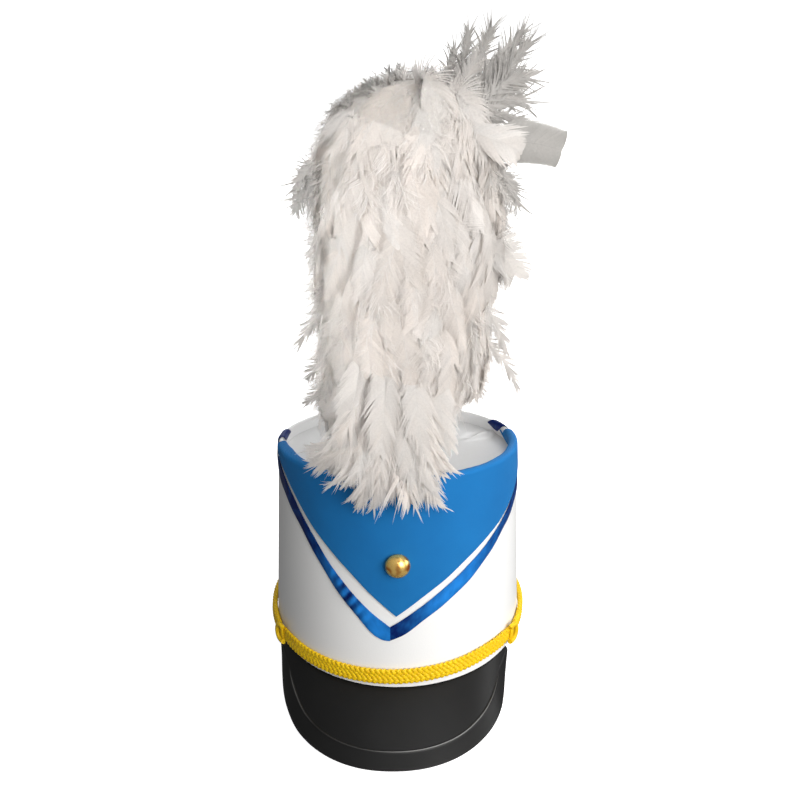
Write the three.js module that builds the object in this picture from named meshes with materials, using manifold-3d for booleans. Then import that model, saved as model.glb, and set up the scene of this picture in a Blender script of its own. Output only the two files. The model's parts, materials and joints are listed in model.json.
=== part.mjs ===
// A marching-band shako: an oval shell with a recessed top, a cloth V panel and ribbon chevron,
// a button, a plaited band with two keepers, a moulded visor and a tall feather plume.
// Millimetres, +Z up, the front of the hat faces -Y.

import * as THREE from 'three';
import { mergeVertices } from 'three/addons/utils/BufferGeometryUtils.js';
import Module from 'manifold-3d';

const wasm = await Module();
wasm.setup();

const degrees = THREE.MathUtils.degToRad;
const gap = 0.3;            // clearance between touching pieces
const roundStep = 6;        // degrees between the sections that go round the shell

// The shell is a slightly tapered oval tube whose top edge is higher at the front.
const shell = {
  bottomHalfWidth: 88,
  bottomHalfDepth: 96,
  topHalfWidth: 82,
  topHalfDepth: 89.5,
  height: 138.4,            // on the centre line
  topSlope: Math.tan(degrees(8.4)),
  wall: 2.4,
};

// The hat leans back as it rests, on the front edge of its visor and the back of its rim.
const restTilt = degrees(7.72);

const top = { depth: 10, thickness: 2.4, sectionStep: 6 };
const cloth = { thickness: 1.1, foldInside: 8 };
const ribbon = { thickness: 1.0 };
const button = { angle: 0, height: 91, radius: 9, domeHeight: 6.2, shankRadius: 2.2, shankReach: 7 };
const band = { bottom: 3.6, face: 10, thickness: 4.6, frontLeft: -62.5, frontRight: 60 };
const keeper = { turn: 8.4, face: 13, thickness: 6.4 };
const visor = {
  turn: -1.2,               // degrees that the visor sits round to the left
  thickness: 2.2,
  tabHeight: 12,
  borderWidth: 12.5,
  borderStep: 0.8,
  sectionStep: 4.2,
};
const stem = { x: -6, y: -52, radius: 4, collarRadius: 13, collarThickness: 2, topHeight: 300 };

// Lower edge of the panel: angle round the shell from the front, and height on the shell.
const panelEdge = [
  { angle: -92, height: 146 },
  { angle: -82, height: 140.5 },
  { angle: -73, height: 136.5 },
  { angle: -62, height: 130.5 },
  { angle: -54, height: 123.5 },
  { angle: -44, height: 111.5 },
  { angle: -33, height: 98.5 },
  { angle: -22, height: 84.8 },
  { angle: -11, height: 69 },
  { angle: -0.6, height: 54.5 },
  { angle: 11, height: 68 },
  { angle: 22, height: 79 },
  { angle: 33, height: 89.8 },
  { angle: 44, height: 98 },
  { angle: 56, height: 105.5 },
  { angle: 66, height: 112.5 },
  { angle: 78, height: 119.5 },
  { angle: 88, height: 125.5 },
  { angle: 96, height: 131 },
  { angle: 103, height: 137 },
  { angle: 110, height: 143 },
];

// The ribbon's two edges, in the same measure.
const ribbonEdges = [
  { angle: -111, lower: 142, upper: 150 },
  { angle: -105, lower: 137.4, upper: 148 },
  { angle: -99, lower: 133.6, upper: 144.5 },
  { angle: -92, lower: 130.6, upper: 140 },
  { angle: -82, lower: 126.6, upper: 135.4 },
  { angle: -72, lower: 121.5, upper: 131 },
  { angle: -62, lower: 114.5, upper: 125 },
  { angle: -50, lower: 103, upper: 113 },
  { angle: -39, lower: 87, upper: 97.5 },
  { angle: -28, lower: 68.2, upper: 79.8 },
  { angle: -18, lower: 52, upper: 65 },
  { angle: -9.5, lower: 38.8, upper: 53.4 },
  { angle: -5, lower: 36, upper: 48.2 },
  { angle: -3, lower: 36.4, upper: 46.4 },
  { angle: 2.5, lower: 40.8, upper: 52 },
  { angle: 11, lower: 50, upper: 61.2 },
  { angle: 22, lower: 61, upper: 72.5 },
  { angle: 33, lower: 71.6, upper: 83 },
  { angle: 44, lower: 83, upper: 92.4 },
  { angle: 56, lower: 94.5, upper: 102 },
  { angle: 66, lower: 101.5, upper: 108.6 },
  { angle: 78, lower: 108, upper: 115.5 },
  { angle: 90, lower: 113.6, upper: 121.6 },
  { angle: 102, lower: 121, upper: 130.6 },
  { angle: 108, lower: 124.6, upper: 135 },
  { angle: 114, lower: 128.4, upper: 140.5 },
  { angle: 122, lower: 134.2, upper: 148 },
  { angle: 128, lower: 138.6, upper: 150 },
];

// The visor's outer edge: angle round the shell, reach outwards from it and drop below it.
const visorEdge = [
  { angle: -67, reach: 0.8, drop: 3.6 },
  { angle: -62, reach: 3.2, drop: 10.5 },
  { angle: -56, reach: 7.6, drop: 17 },
  { angle: -50, reach: 13, drop: 21.6 },
  { angle: -40, reach: 22.9, drop: 25 },
  { angle: -30, reach: 33.4, drop: 27.8 },
  { angle: -20, reach: 40.8, drop: 30.1 },
  { angle: -10, reach: 44.6, drop: 31.4 },
  { angle: 0, reach: 45.4, drop: 31.8 },
  { angle: 10, reach: 44.6, drop: 31.4 },
  { angle: 20, reach: 40.8, drop: 30.1 },
  { angle: 30, reach: 33.4, drop: 27.8 },
  { angle: 40, reach: 22.9, drop: 25 },
  { angle: 50, reach: 13, drop: 21.6 },
  { angle: 56, reach: 7.6, drop: 17 },
  { angle: 62, reach: 3.2, drop: 10.5 },
  { angle: 67, reach: 0.8, drop: 3.6 },
];

// The dense middle of the plume, as oval sections.
const plumeCore = [
  { height: 142, x: -6, y: -50, halfWidth: 15, halfDepth: 13 },
  { height: 153, x: -7, y: -48, halfWidth: 28, halfDepth: 25 },
  { height: 172, x: -8, y: -50, halfWidth: 36, halfDepth: 32 },
  { height: 194, x: -4, y: -52, halfWidth: 42, halfDepth: 37 },
  { height: 222, x: 1, y: -52, halfWidth: 46, halfDepth: 41 },
  { height: 250, x: 0, y: -52, halfWidth: 48, halfDepth: 43 },
  { height: 280, x: 4, y: -52, halfWidth: 53, halfDepth: 46 },
  { height: 310, x: 4, y: -52, halfWidth: 56, halfDepth: 48 },
  { height: 338, x: 7, y: -52, halfWidth: 56, halfDepth: 48 },
  { height: 358, x: 10, y: -52, halfWidth: 51, halfDepth: 44 },
  { height: 374, x: 15, y: -52, halfWidth: 42, halfDepth: 36 },
  { height: 386, x: 21, y: -52, halfWidth: 27, halfDepth: 23 },
  { height: 393, x: 24, y: -52, halfWidth: 10, halfDepth: 9 },
];

// Rings of feather locks round the core: where they root, how far the tips stand out and hang.
const lockRings = [
  { height: 372, count: 7, turn: 65, reach: 2, fall: 30, width: 30 },
  { height: 350, count: 8, turn: 20, reach: 9, fall: 34, width: 34 },
  { height: 318, count: 8, turn: 42, reach: 9, fall: 40, width: 35 },
  { height: 282, count: 8, turn: 18, reach: 9, fall: 42, width: 34 },
  { height: 246, count: 7, turn: 40, reach: 9, fall: 40, width: 33 },
  { height: 214, count: 7, turn: 14, reach: 4, fall: 32, width: 30 },
  { height: 186, count: 5, turn: 15, reach: 3, fall: 26, width: 28 },
];

// Single locks that stand away from the rest: root, a point that they bend over, tip and size.
const looseLocks = [
  { root: [44, -52, 345], bend: [60, -50, 384], tip: [77, -50, 421], width: 24 },
  { root: [34, -48, 360], bend: [42, -48, 388], tip: [56, -46, 410], width: 22 },
  { root: [46, -56, 345], bend: [66, -54, 366], tip: [83, -54, 397], width: 20 },
  { root: [44, -60, 350], bend: [76, -62, 366], tip: [98, -60, 348], width: 22, bluntTip: true },
  { root: [36, -62, 296], bend: [66, -66, 296], tip: [79, -62, 274], width: 22 },
  { root: [34, -56, 236], bend: [58, -58, 226], tip: [75, -56, 201], width: 24 },
  { root: [-30, -60, 256], bend: [-52, -64, 250], tip: [-61, -62, 224], width: 24 },
  { root: [-38, -54, 344], bend: [-58, -56, 342], tip: [-66, -54, 318], width: 28 },
  { root: [-30, -50, 350], bend: [-46, -52, 364], tip: [-54, -52, 350], width: 24 },
];

// The lowest feathers fan out over the front of the rim: where each tip hangs.
const frontFan = { rootX: -4, rootY: -78, rootHeight: 222, bendY: -112, bendHeight: 182, width: 21 };
const frontFanTips = [
  { x: -58, y: -88, height: 168 },
  { x: -44, y: -98, height: 158 },
  { x: -29, y: -103, height: 149 },
  { x: -15, y: -105, height: 140 },
  { x: -1, y: -106, height: 149 },
  { x: 13, y: -105, height: 141 },
  { x: 27, y: -102, height: 142 },
  { x: 38, y: -93, height: 166 },
];

// ---- the shell's surface ----------------------------------------------------------------

function readTable(table, angle, column) {
  const next = table.findIndex((row) => row.angle >= angle);
  if (next <= 0) return table[next === 0 ? 0 : table.length - 1][column];
  const low = table[next - 1];
  const high = table[next];
  return THREE.MathUtils.mapLinear(angle, low.angle, high.angle, low[column], high[column]);
}

// A point on the shell at an angle from the front and a height, moved out by an offset.
function shellPoint(angle, height, offset) {
  const rise = height / shell.height;
  const halfWidth = THREE.MathUtils.lerp(shell.bottomHalfWidth, shell.topHalfWidth, rise);
  const halfDepth = THREE.MathUtils.lerp(shell.bottomHalfDepth, shell.topHalfDepth, rise);
  const across = Math.sin(degrees(angle));
  const ahead = Math.cos(degrees(angle));
  const outward = new THREE.Vector3(across / halfWidth, -ahead / halfDepth, 0).normalize();
  return new THREE.Vector3(halfWidth * across, -halfDepth * ahead, height).addScaledVector(outward, offset);
}

// Height of the sloping top edge at an angle.
function rimHeight(angle) {
  const ahead = Math.cos(degrees(angle));
  const taper = (shell.bottomHalfDepth - shell.topHalfDepth) / shell.height;
  const level = shell.height + shell.topSlope * shell.bottomHalfDepth * ahead;
  return level / (1 + shell.topSlope * taper * ahead);
}

const rimRadius = shell.wall / 2;
const rimArc = Math.PI * rimRadius;

// As shellPoint, for cloth laid on the shell: past the round top edge it goes down inside.
function drapePoint(angle, height, offset) {
  const springLine = rimHeight(angle) - rimRadius;
  const past = height - springLine;
  if (past <= 0) return shellPoint(angle, height, offset);
  if (past >= rimArc) return shellPoint(angle, springLine - (past - rimArc), -shell.wall - offset);
  const turn = past / rimRadius;
  const radius = rimRadius + offset;
  return shellPoint(angle, springLine + radius * Math.sin(turn), -rimRadius + radius * Math.cos(turn));
}

// ---- making solids ----------------------------------------------------------------------

// A closed solid from points and triangles, turned so that its faces point outwards.
function solid(points, triangles) {
  const volume = triangles.reduce((sum, [a, b, c]) => {
    const cross = new THREE.Vector3().crossVectors(points[b], points[c]);
    return sum + points[a].dot(cross);
  }, 0);
  const turned = volume < 0 ? triangles.map(([a, b, c]) => [a, c, b]) : triangles;
  const geometry = new THREE.BufferGeometry().setFromPoints(points);
  geometry.setIndex(turned.flat());
  return geometry;
}

// Triangles between two rows of { index, at }, matched by where each point is on its row.
function stitch(rowA, rowB) {
  const triangles = [];
  let a = 0;
  let b = 0;
  while (a < rowA.length - 1 || b < rowB.length - 1) {
    const rowADone = a === rowA.length - 1;
    const rowBDone = b === rowB.length - 1;
    const stepA = rowBDone || (!rowADone && rowA[a + 1].at <= rowB[b + 1].at);
    const third = stepA ? rowA[a + 1] : rowB[b + 1];
    triangles.push([rowA[a].index, third.index, rowB[b].index]);
    if (stepA) a += 1;
    else b += 1;
  }
  return triangles;
}

const flipped = (triangles) => triangles.map(([a, b, c]) => [a, c, b]);

// A wall lofted through sections. A section is a list of { outer, inner, at }: a point on each
// face, and a measure along the section by which one section is matched with the next.
function loftWall(sections, closed) {
  const points = [];
  const rowOf = (section, face) => section.map((pair, i) => (
    { index: points.push(pair[face]) - 1, at: pair.at ?? i }));
  const rows = sections.map((section) => (
    { outer: rowOf(section, 'outer'), inner: rowOf(section, 'inner') }));
  const rung = (row, end) => [
    { index: row.outer.at(end).index, at: 0 },
    { index: row.inner.at(end).index, at: 1 },
  ];
  const triangles = [];
  rows.forEach((row, i) => {
    const next = closed ? rows[(i + 1) % rows.length] : rows[i + 1];
    if (!next) return;
    triangles.push(...stitch(row.outer, next.outer));
    triangles.push(...flipped(stitch(row.inner, next.inner)));
    triangles.push(...flipped(stitch(rung(row, 0), rung(next, 0))));
    triangles.push(...stitch(rung(row, -1), rung(next, -1)));
  });
  if (!closed) {
    triangles.push(...stitch(rows[0].inner, rows[0].outer));
    triangles.push(...stitch(rows.at(-1).outer, rows.at(-1).inner));
  }
  return solid(points, triangles);
}

// A solid lofted through rings of equal numbers of points, with its ends capped.
function loftRings(rings) {
  const sides = rings[0].length;
  const last = (rings.length - 1) * sides;
  const triangles = [];
  for (let first = 0; first < last; first += sides) {
    for (let side = 0; side < sides; side += 1) {
      const a = first + side;
      const b = first + (side + 1) % sides;
      triangles.push([a, b, b + sides], [a, b + sides, a + sides]);
    }
  }
  for (let side = 1; side < sides - 1; side += 1) {
    triangles.push([0, side + 1, side], [last, last + side, last + side + 1]);
  }
  return solid(rings.flat(), triangles);
}

function toManifold(geometry) {
  const plain = geometry.clone();
  plain.deleteAttribute('normal');
  plain.deleteAttribute('uv');
  const merged = mergeVertices(plain);
  const vertProperties = new Float32Array(merged.attributes.position.array);
  const triVerts = new Uint32Array(merged.index.array);
  return new wasm.Manifold(new wasm.Mesh({ numProp: 3, vertProperties, triVerts }));
}

function fromManifold(manifold) {
  const mesh = manifold.getMesh();
  const geometry = new THREE.BufferGeometry();
  geometry.setAttribute('position', new THREE.BufferAttribute(mesh.vertProperties, 3));
  geometry.setIndex(new THREE.BufferAttribute(mesh.triVerts, 1));
  return geometry;
}

const cut = (body, tool) => fromManifold(toManifold(body).subtract(toManifold(tool)));
const join = (bodies) => fromManifold(bodies.map(toManifold).reduce((sum, body) => sum.add(body)));

// The outermost of a body's surfaces, which fills any hollow that is closed on all sides.
function withoutSealedHollows(body) {
  const surfaces = toManifold(body).decompose();
  surfaces.sort((a, b) => b.volume() - a.volume());
  return fromManifold(surfaces[0]);
}

function anglesBetween(from, to, step) {
  const count = Math.ceil((to - from) / step);
  return Array.from({ length: count + 1 }, (_, i) => THREE.MathUtils.lerp(from, to, i / count));
}

// ---- shell and its top ------------------------------------------------------------------

const buttonFace = shellPoint(button.angle, button.height, 0);
const faceLean = Math.atan((shell.bottomHalfDepth - shell.topHalfDepth) / shell.height);

// The clearance hole that the button's shank passes through.
function shankHole() {
  const length = 6 * shell.wall;
  const bar = new THREE.CylinderGeometry(button.shankRadius + 0.4, button.shankRadius + 0.4, length, 12);
  return bar.translate(buttonFace.x, buttonFace.y, buttonFace.z);
}

function crownShell() {
  const sections = anglesBetween(0, 360, roundStep).slice(0, -1).map((angle) => {
    const springLine = rimHeight(angle) - rimRadius;
    const shoulder = springLine + rimArc / 3.6;
    const farShoulder = springLine + rimArc - rimArc / 3.6;
    return [
      { outer: shellPoint(angle, 0, 0), inner: shellPoint(angle, 0, -shell.wall) },
      { outer: drapePoint(angle, springLine, 0), inner: shellPoint(angle, springLine, -shell.wall) },
      { outer: drapePoint(angle, shoulder, 0), inner: drapePoint(angle, farShoulder, 0) },
    ];
  });
  return cut(loftWall(sections, true), shankHole());
}

// Height of a plane parallel to the top edge and a depth below it.
const topPlane = (y, depth) => shell.height - depth - shell.topSlope * y;

function onTopPlane(point, depth) {
  return new THREE.Vector3(point.x, point.y, topPlane(point.y, depth));
}

// The recessed top: a plate that fills the shell, with a hole for the stem.
function crownTop() {
  const hole = new THREE.Vector3(stem.x, stem.y, topPlane(stem.y, top.depth));
  const under = top.depth + top.thickness;
  const sections = anglesBetween(0, 360, top.sectionStep).slice(0, -1).map((angle) => {
    const edge = shellPoint(angle, rimHeight(angle) - top.depth, -shell.wall - gap);
    const inward = new THREE.Vector3().subVectors(edge, hole).setZ(0).setLength(stem.radius + 0.4);
    const holeEdge = hole.clone().add(inward);
    return [
      { outer: onTopPlane(edge, top.depth), inner: onTopPlane(edge, under) },
      { outer: onTopPlane(holeEdge, top.depth), inner: onTopPlane(holeEdge, under) },
    ];
  });
  return loftWall(sections, true);
}

// ---- cloth ------------------------------------------------------------------------------

// Cloth laid on the shell between two heights at each angle, and folded over the top edge.
function drapedCloth(angles, lowerAt, upperAt, thickness) {
  const sections = angles.map((angle) => {
    const springLine = rimHeight(angle) - rimRadius;
    const foldEnd = springLine + rimArc + cloth.foldInside;
    const lower = lowerAt(angle);
    const upper = Math.min(upperAt(angle), foldEnd);
    const bends = [0, 0.25, 0.5, 0.75, 1].map((part) => springLine + part * rimArc);
    const between = bends.filter((height) => height > lower + 0.2 && height < upper - 0.2);
    return [lower, ...between, upper].map((height) => ({
      outer: drapePoint(angle, height, gap + thickness),
      inner: drapePoint(angle, height, gap),
      at: height - springLine,
    }));
  });
  return loftWall(sections, false);
}

function frontPanel() {
  const angles = [
    ...anglesBetween(-92, -78, 2).slice(0, -1),
    ...anglesBetween(-78, 96, roundStep),
    ...anglesBetween(96, 110, 1.4).slice(1),
  ];
  const lowerAt = (angle) => readTable(panelEdge, angle, 'height');
  return cut(drapedCloth(angles, lowerAt, () => Infinity, cloth.thickness), shankHole());
}

function chevronRibbon() {
  const angles = [
    ...anglesBetween(-111, -84, 1.5).slice(0, -1),
    ...anglesBetween(-84, -14, roundStep).slice(0, -1),
    ...anglesBetween(-14, 6, 2).slice(0, -1),
    ...anglesBetween(6, 103, roundStep).slice(0, -1),
    ...anglesBetween(103, 128, 1.5),
  ];
  const lowerAt = (angle) => readTable(ribbonEdges, angle, 'lower');
  const upperAt = (angle) => readTable(ribbonEdges, angle, 'upper');
  return drapedCloth(angles, lowerAt, upperAt, ribbon.thickness);
}

// ---- band and keepers -------------------------------------------------------------------

// One section of the band: flat against the shell, rounded outside.
function bandRing(angle, face, thickness) {
  const middle = band.bottom + band.face / 2;
  const profile = [
    { out: 0, up: -0.38 },
    { out: 0, up: 0.38 },
    { out: 0.25, up: 0.5 },
    { out: 0.7, up: 0.46 },
    { out: 1, up: 0.24 },
    { out: 1, up: -0.24 },
    { out: 0.7, up: -0.46 },
    { out: 0.25, up: -0.5 },
  ];
  return profile.map(({ out, up }) => shellPoint(angle, middle + up * face, gap + out * thickness));
}

function bandStretch(from, to, step) {
  return loftRings(anglesBetween(from, to, step).map((angle) => bandRing(angle, band.face, band.thickness)));
}

// A keeper is a fatter loop that the ends of the band are drawn into.
function bandKeeper(from) {
  const swell = [
    { along: 0, size: 0.62 },
    { along: 0.16, size: 0.9 },
    { along: 0.4, size: 1 },
    { along: 0.6, size: 1 },
    { along: 0.84, size: 0.9 },
    { along: 1, size: 0.62 },
  ];
  return loftRings(swell.map(({ along, size }) => (
    bandRing(from + along * keeper.turn, size * keeper.face, size * keeper.thickness))));
}

// ---- button -----------------------------------------------------------------------------

// A domed button turned about +Y, with its back at the origin and its shank behind.
function domedButton() {
  const dome = new THREE.Path();
  dome.moveTo(0, -button.shankReach);
  dome.lineTo(button.shankRadius, -button.shankReach);
  dome.lineTo(button.shankRadius, 0);
  dome.lineTo(button.radius - 1, 0);
  dome.quadraticCurveTo(button.radius, 0, button.radius, 1);
  dome.bezierCurveTo(button.radius, 4.2, 5, button.domeHeight, 0, button.domeHeight);
  return new THREE.LatheGeometry(dome.getPoints(4), 16);
}

// ---- visor ------------------------------------------------------------------------------

// A point in the upright plane that runs out from the shell at an angle.
const visorPoint = (angle, out, up) => (
  shellPoint(angle + visor.turn, Math.max(0, up), out).setZ(up));

function visorSection(angle) {
  const reach = readTable(visorEdge, angle, 'reach');
  const drop = readTable(visorEdge, angle, 'drop');
  const root = { out: 0.2, up: -2 * gap };
  const slope = Math.atan2(drop + root.up, reach - root.out);
  const normal = { out: Math.sin(slope), up: Math.cos(slope) };
  const tip = {
    out: reach + 0.5 * visor.thickness * normal.out,
    up: -drop + visor.thickness * normal.up,
  };
  const length = Math.hypot(tip.out - root.out, tip.up - root.up);
  const border = Math.max(0.4, 1 - visor.borderWidth / length);
  const ramp = Math.min(0.15, 0.6 / length);

  // A pair of points across the wall, part of the way to the edge and raised by a step.
  const across = (part, step) => {
    const crown = 0.1 * length * part * (1 - part);
    const out = THREE.MathUtils.lerp(root.out, tip.out, part) + crown * normal.out;
    const up = THREE.MathUtils.lerp(root.up, tip.up, part) + crown * normal.up;
    const under = visor.thickness;
    return {
      outer: visorPoint(angle, out + step * normal.out, up + step * normal.up),
      inner: visorPoint(angle, out - under * normal.out, up - under * normal.up),
    };
  };
  const tabFace = -shell.wall - gap;
  const tabBack = tabFace - 1.8;
  return [
    {
      outer: visorPoint(angle, tabFace, visor.tabHeight),
      inner: visorPoint(angle, tabBack, visor.tabHeight),
    },
    { outer: visorPoint(angle, tabFace, -gap), inner: visorPoint(angle, tabBack, -gap - 1.6) },
    across(0, 0),
    across(border / 2, 0),
    across(border - ramp, 0),
    across(border + ramp, visor.borderStep),
    across(1, 0),
  ];
}

function visorPeak() {
  const edge = visorEdge.at(-1).angle;
  return loftWall(anglesBetween(-edge, edge, visor.sectionStep).map(visorSection), false);
}

// ---- plume ------------------------------------------------------------------------------

// A post with two collars that hold the recessed top between them.
function plumeStem() {
  const slope = Math.atan(shell.topSlope);
  const lift = gap + stem.collarThickness / 2;
  const postBottom = topPlane(stem.y, top.depth + top.thickness) - 5;
  const postHeight = stem.topHeight - postBottom;
  const post = new THREE.CylinderGeometry(stem.radius, stem.radius, postHeight, 12);
  post.rotateX(Math.PI / 2).translate(stem.x, stem.y, postBottom + postHeight / 2);
  const collars = [
    { depth: top.depth, side: 1 },
    { depth: top.depth + top.thickness, side: -1 },
  ].map(({ depth, side }) => {
    const collar = new THREE.CylinderGeometry(stem.collarRadius, stem.collarRadius, stem.collarThickness, 16);
    collar.rotateX(Math.PI / 2 - slope);
    const up = topPlane(stem.y, depth) + side * lift * Math.cos(slope);
    return collar.translate(stem.x, stem.y + side * lift * Math.sin(slope), up);
  });
  return join([post, ...collars]);
}

// A flat tapering lock of feathers along a bent line. Its broad side faces away from the stem, or
// the way that it is given.
function featherLock({ root, bend, tip, width, bluntTip = false, broadSide = null }) {
  const line = new THREE.QuadraticBezierCurve3(
    new THREE.Vector3(...root), new THREE.Vector3(...bend), new THREE.Vector3(...tip));
  const taper = [
    { along: 0, size: 0.75 },
    { along: 0.45, size: 1 },
    { along: 0.82, size: bluntTip ? 0.8 : 0.62 },
    { along: 1, size: bluntTip ? 0.6 : 0.12 },
  ];
  const sides = 6;
  return loftRings(taper.map(({ along, size }) => {
    const centre = line.getPoint(along);
    const ahead = line.getTangent(along);
    const outward = broadSide ?? new THREE.Vector3(centre.x - stem.x, centre.y - stem.y, 0);
    const across = new THREE.Vector3().crossVectors(ahead, outward).normalize();
    const facing = new THREE.Vector3().crossVectors(across, ahead).normalize();
    return Array.from({ length: sides }, (_, side) => {
      const turn = (side * 2 * Math.PI) / sides;
      return centre.clone()
        .addScaledVector(across, 0.5 * width * size * Math.cos(turn))
        .addScaledVector(facing, 0.2 * width * size * Math.sin(turn));
    });
  }));
}

function coreRing({ height, x, y, halfWidth, halfDepth }) {
  const sides = 14;
  return Array.from({ length: sides }, (_, side) => {
    const turn = (side * 2 * Math.PI) / sides;
    return new THREE.Vector3(x + halfWidth * Math.cos(turn), y + halfDepth * Math.sin(turn), height);
  });
}

// A point round the core at a height, moved out by an offset.
function aroundCore(turn, height, offset) {
  const next = Math.max(1, plumeCore.findIndex((row) => row.height >= height));
  const low = plumeCore[next - 1];
  const high = plumeCore[next];
  const read = (column) => (
    THREE.MathUtils.mapLinear(height, low.height, high.height, low[column], high[column]));
  return [
    read('x') + (read('halfWidth') + offset) * Math.cos(turn),
    read('y') + (read('halfDepth') + offset) * Math.sin(turn),
  ];
}

function ringOfLocks({ height, count, turn, reach, fall, width }) {
  return Array.from({ length: count }, (_, i) => {
    const around = degrees(turn + (360 * i) / count);
    const uneven = Math.sin(5 * i + height);
    const tipReach = reach + 2.5 * uneven;
    const tipHeight = height - fall - 4 * uneven;
    return featherLock({
      root: [...aroundCore(around, height, -13), height],
      bend: [...aroundCore(around, height, reach), height + 9],
      tip: [...aroundCore(around, height, tipReach), tipHeight],
      width,
    });
  });
}

function fanLocks() {
  const { rootX, rootY, rootHeight, bendY, bendHeight, width } = frontFan;
  return frontFanTips.map((tip) => featherLock({
    root: [rootX + 0.35 * tip.x, rootY, rootHeight],
    bend: [rootX + 0.8 * tip.x, bendY - 0.5 * (tip.y - bendY), bendHeight],
    tip: [tip.x, tip.y, tip.height],
    width,
  }));
}

function plume() {
  const toFront = new THREE.Vector3(0, -1, 0);
  const locks = [
    ...lockRings.flatMap(ringOfLocks),
    ...looseLocks.map((lock) => featherLock({ ...lock, broadSide: toFront })),
    ...fanLocks(),
  ];
  const boreRadius = stem.radius + 0.4;
  const bore = new THREE.CylinderGeometry(boreRadius, boreRadius, 200, 12);
  bore.rotateX(Math.PI / 2).translate(stem.x, stem.y, stem.topHeight + 1 - 100);
  const feathers = join([loftRings(plumeCore.map(coreRing)), ...locks]);
  return cut(withoutSealedHollows(feathers), bore);
}

// ---- the hat ----------------------------------------------------------------------------

const finishes = {
  vinyl: { color: 0xf2f2f0, roughness: 0.42, metalness: 0 },
  cloth: { color: 0x1b6fbe, roughness: 0.85, metalness: 0 },
  satin: { color: 0x12379a, roughness: 0.35, metalness: 0 },
  gold: { color: 0xd9a33a, roughness: 0.2, metalness: 1 },
  braid: { color: 0xe8b81c, roughness: 0.6, metalness: 0.2 },
  visor: { color: 0x1c1d1f, roughness: 0.4, metalness: 0 },
  feather: { color: 0xeee9e4, roughness: 0.9, metalness: 0 },
  post: { color: 0xc8c8c6, roughness: 0.5, metalness: 0 },
};

function piece(name, geometry, finish) {
  const mesh = new THREE.Mesh(geometry, new THREE.MeshStandardMaterial(finishes[finish]));
  mesh.name = name;
  return mesh;
}

const upright = new THREE.Group();
upright.add(
  piece('crown_shell', crownShell(), 'vinyl'),
  piece('crown_top', crownTop(), 'vinyl'),
  piece('front_panel', frontPanel(), 'cloth'),
  piece('chevron_ribbon', chevronRibbon(), 'satin'),
  piece('front_braid', bandStretch(band.frontLeft, band.frontRight, 3.5), 'braid'),
  piece('back_braid', bandStretch(
    band.frontRight + keeper.turn + 0.6, 360 + band.frontLeft - keeper.turn - 0.6, 6), 'braid'),
  piece('keeper_left', bandKeeper(band.frontLeft - keeper.turn - 0.3), 'braid'),
  piece('keeper_right', bandKeeper(band.frontRight + 0.3), 'braid'),
  piece('visor', visorPeak(), 'visor'),
  piece('plume_stem', plumeStem(), 'post'),
  piece('plume', plume(), 'feather'),
);

const domed = piece('button', domedButton(), 'gold');
domed.position.set(buttonFace.x, buttonFace.y - cloth.thickness - 2 * gap, buttonFace.z);
domed.rotation.x = Math.PI - faceLean;
upright.add(domed);

// Leaning back on the visor's front edge and the rim, centred over the floor.
const leaning = new THREE.Group();
leaning.rotation.x = -restTilt;
leaning.add(upright);
const hat = new THREE.Group();
hat.add(leaning);
hat.updateMatrixWorld(true);
const box = new THREE.Box3().setFromObject(leaning, true);
const middle = box.getCenter(new THREE.Vector3());
leaning.position.set(-middle.x, -middle.y, -box.min.z);

export default hat;
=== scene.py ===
import json
import math
import bpy
import bmesh
import numpy as np
from mathutils import Matrix, Vector


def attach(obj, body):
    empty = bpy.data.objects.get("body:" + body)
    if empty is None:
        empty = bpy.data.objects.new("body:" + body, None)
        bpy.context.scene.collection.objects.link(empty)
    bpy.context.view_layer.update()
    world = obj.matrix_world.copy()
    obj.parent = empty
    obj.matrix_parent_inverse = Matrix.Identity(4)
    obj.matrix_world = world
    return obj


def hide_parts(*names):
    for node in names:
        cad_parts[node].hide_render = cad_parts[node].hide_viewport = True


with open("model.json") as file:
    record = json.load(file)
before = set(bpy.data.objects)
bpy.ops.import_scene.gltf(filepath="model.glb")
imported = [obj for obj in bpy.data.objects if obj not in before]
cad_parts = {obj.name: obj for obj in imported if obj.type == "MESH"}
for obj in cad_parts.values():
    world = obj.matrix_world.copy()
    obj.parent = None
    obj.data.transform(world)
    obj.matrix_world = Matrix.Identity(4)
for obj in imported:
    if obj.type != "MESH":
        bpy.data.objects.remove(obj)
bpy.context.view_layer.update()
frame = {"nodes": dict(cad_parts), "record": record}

# Every piece is made on an upright hat, and leant back at its end as the hat rests on its visor.
seat = next(mount for mount in frame["record"]["mounts"] if mount["name"] == "rim_seat")
lean = math.atan2(-seat["axis"][1], -seat["axis"][2])

shell = {
    "bottomHalfWidth": 0.088,
    "bottomHalfDepth": 0.096,
    "topHalfWidth": 0.082,
    "topHalfDepth": 0.0895,
    "height": 0.1384,        # on the centre line
    "topSlope": math.tan(math.radians(8.4)),
    "wall": 0.0024,
}
clearance = 0.0003           # between pieces that touch
rimRadius = shell["wall"] / 2
rimArc = math.pi * rimRadius

leanBack = Matrix.Rotation(-lean, 4, "X")
seatUpright = Vector((0, shell["bottomHalfDepth"] - shell["wall"] / 2, 0))
hatPlace = Matrix.Translation(Vector(seat["pos_m"]) - leanBack @ seatUpright) @ leanBack


# the shell's surface, as on the solids

def shellSize(height):                     # half the width and half the depth there
    rise = height / shell["height"]
    halfWidth = shell["bottomHalfWidth"] + (shell["topHalfWidth"] - shell["bottomHalfWidth"]) * rise
    halfDepth = shell["bottomHalfDepth"] + (shell["topHalfDepth"] - shell["bottomHalfDepth"]) * rise
    return halfWidth, halfDepth


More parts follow.
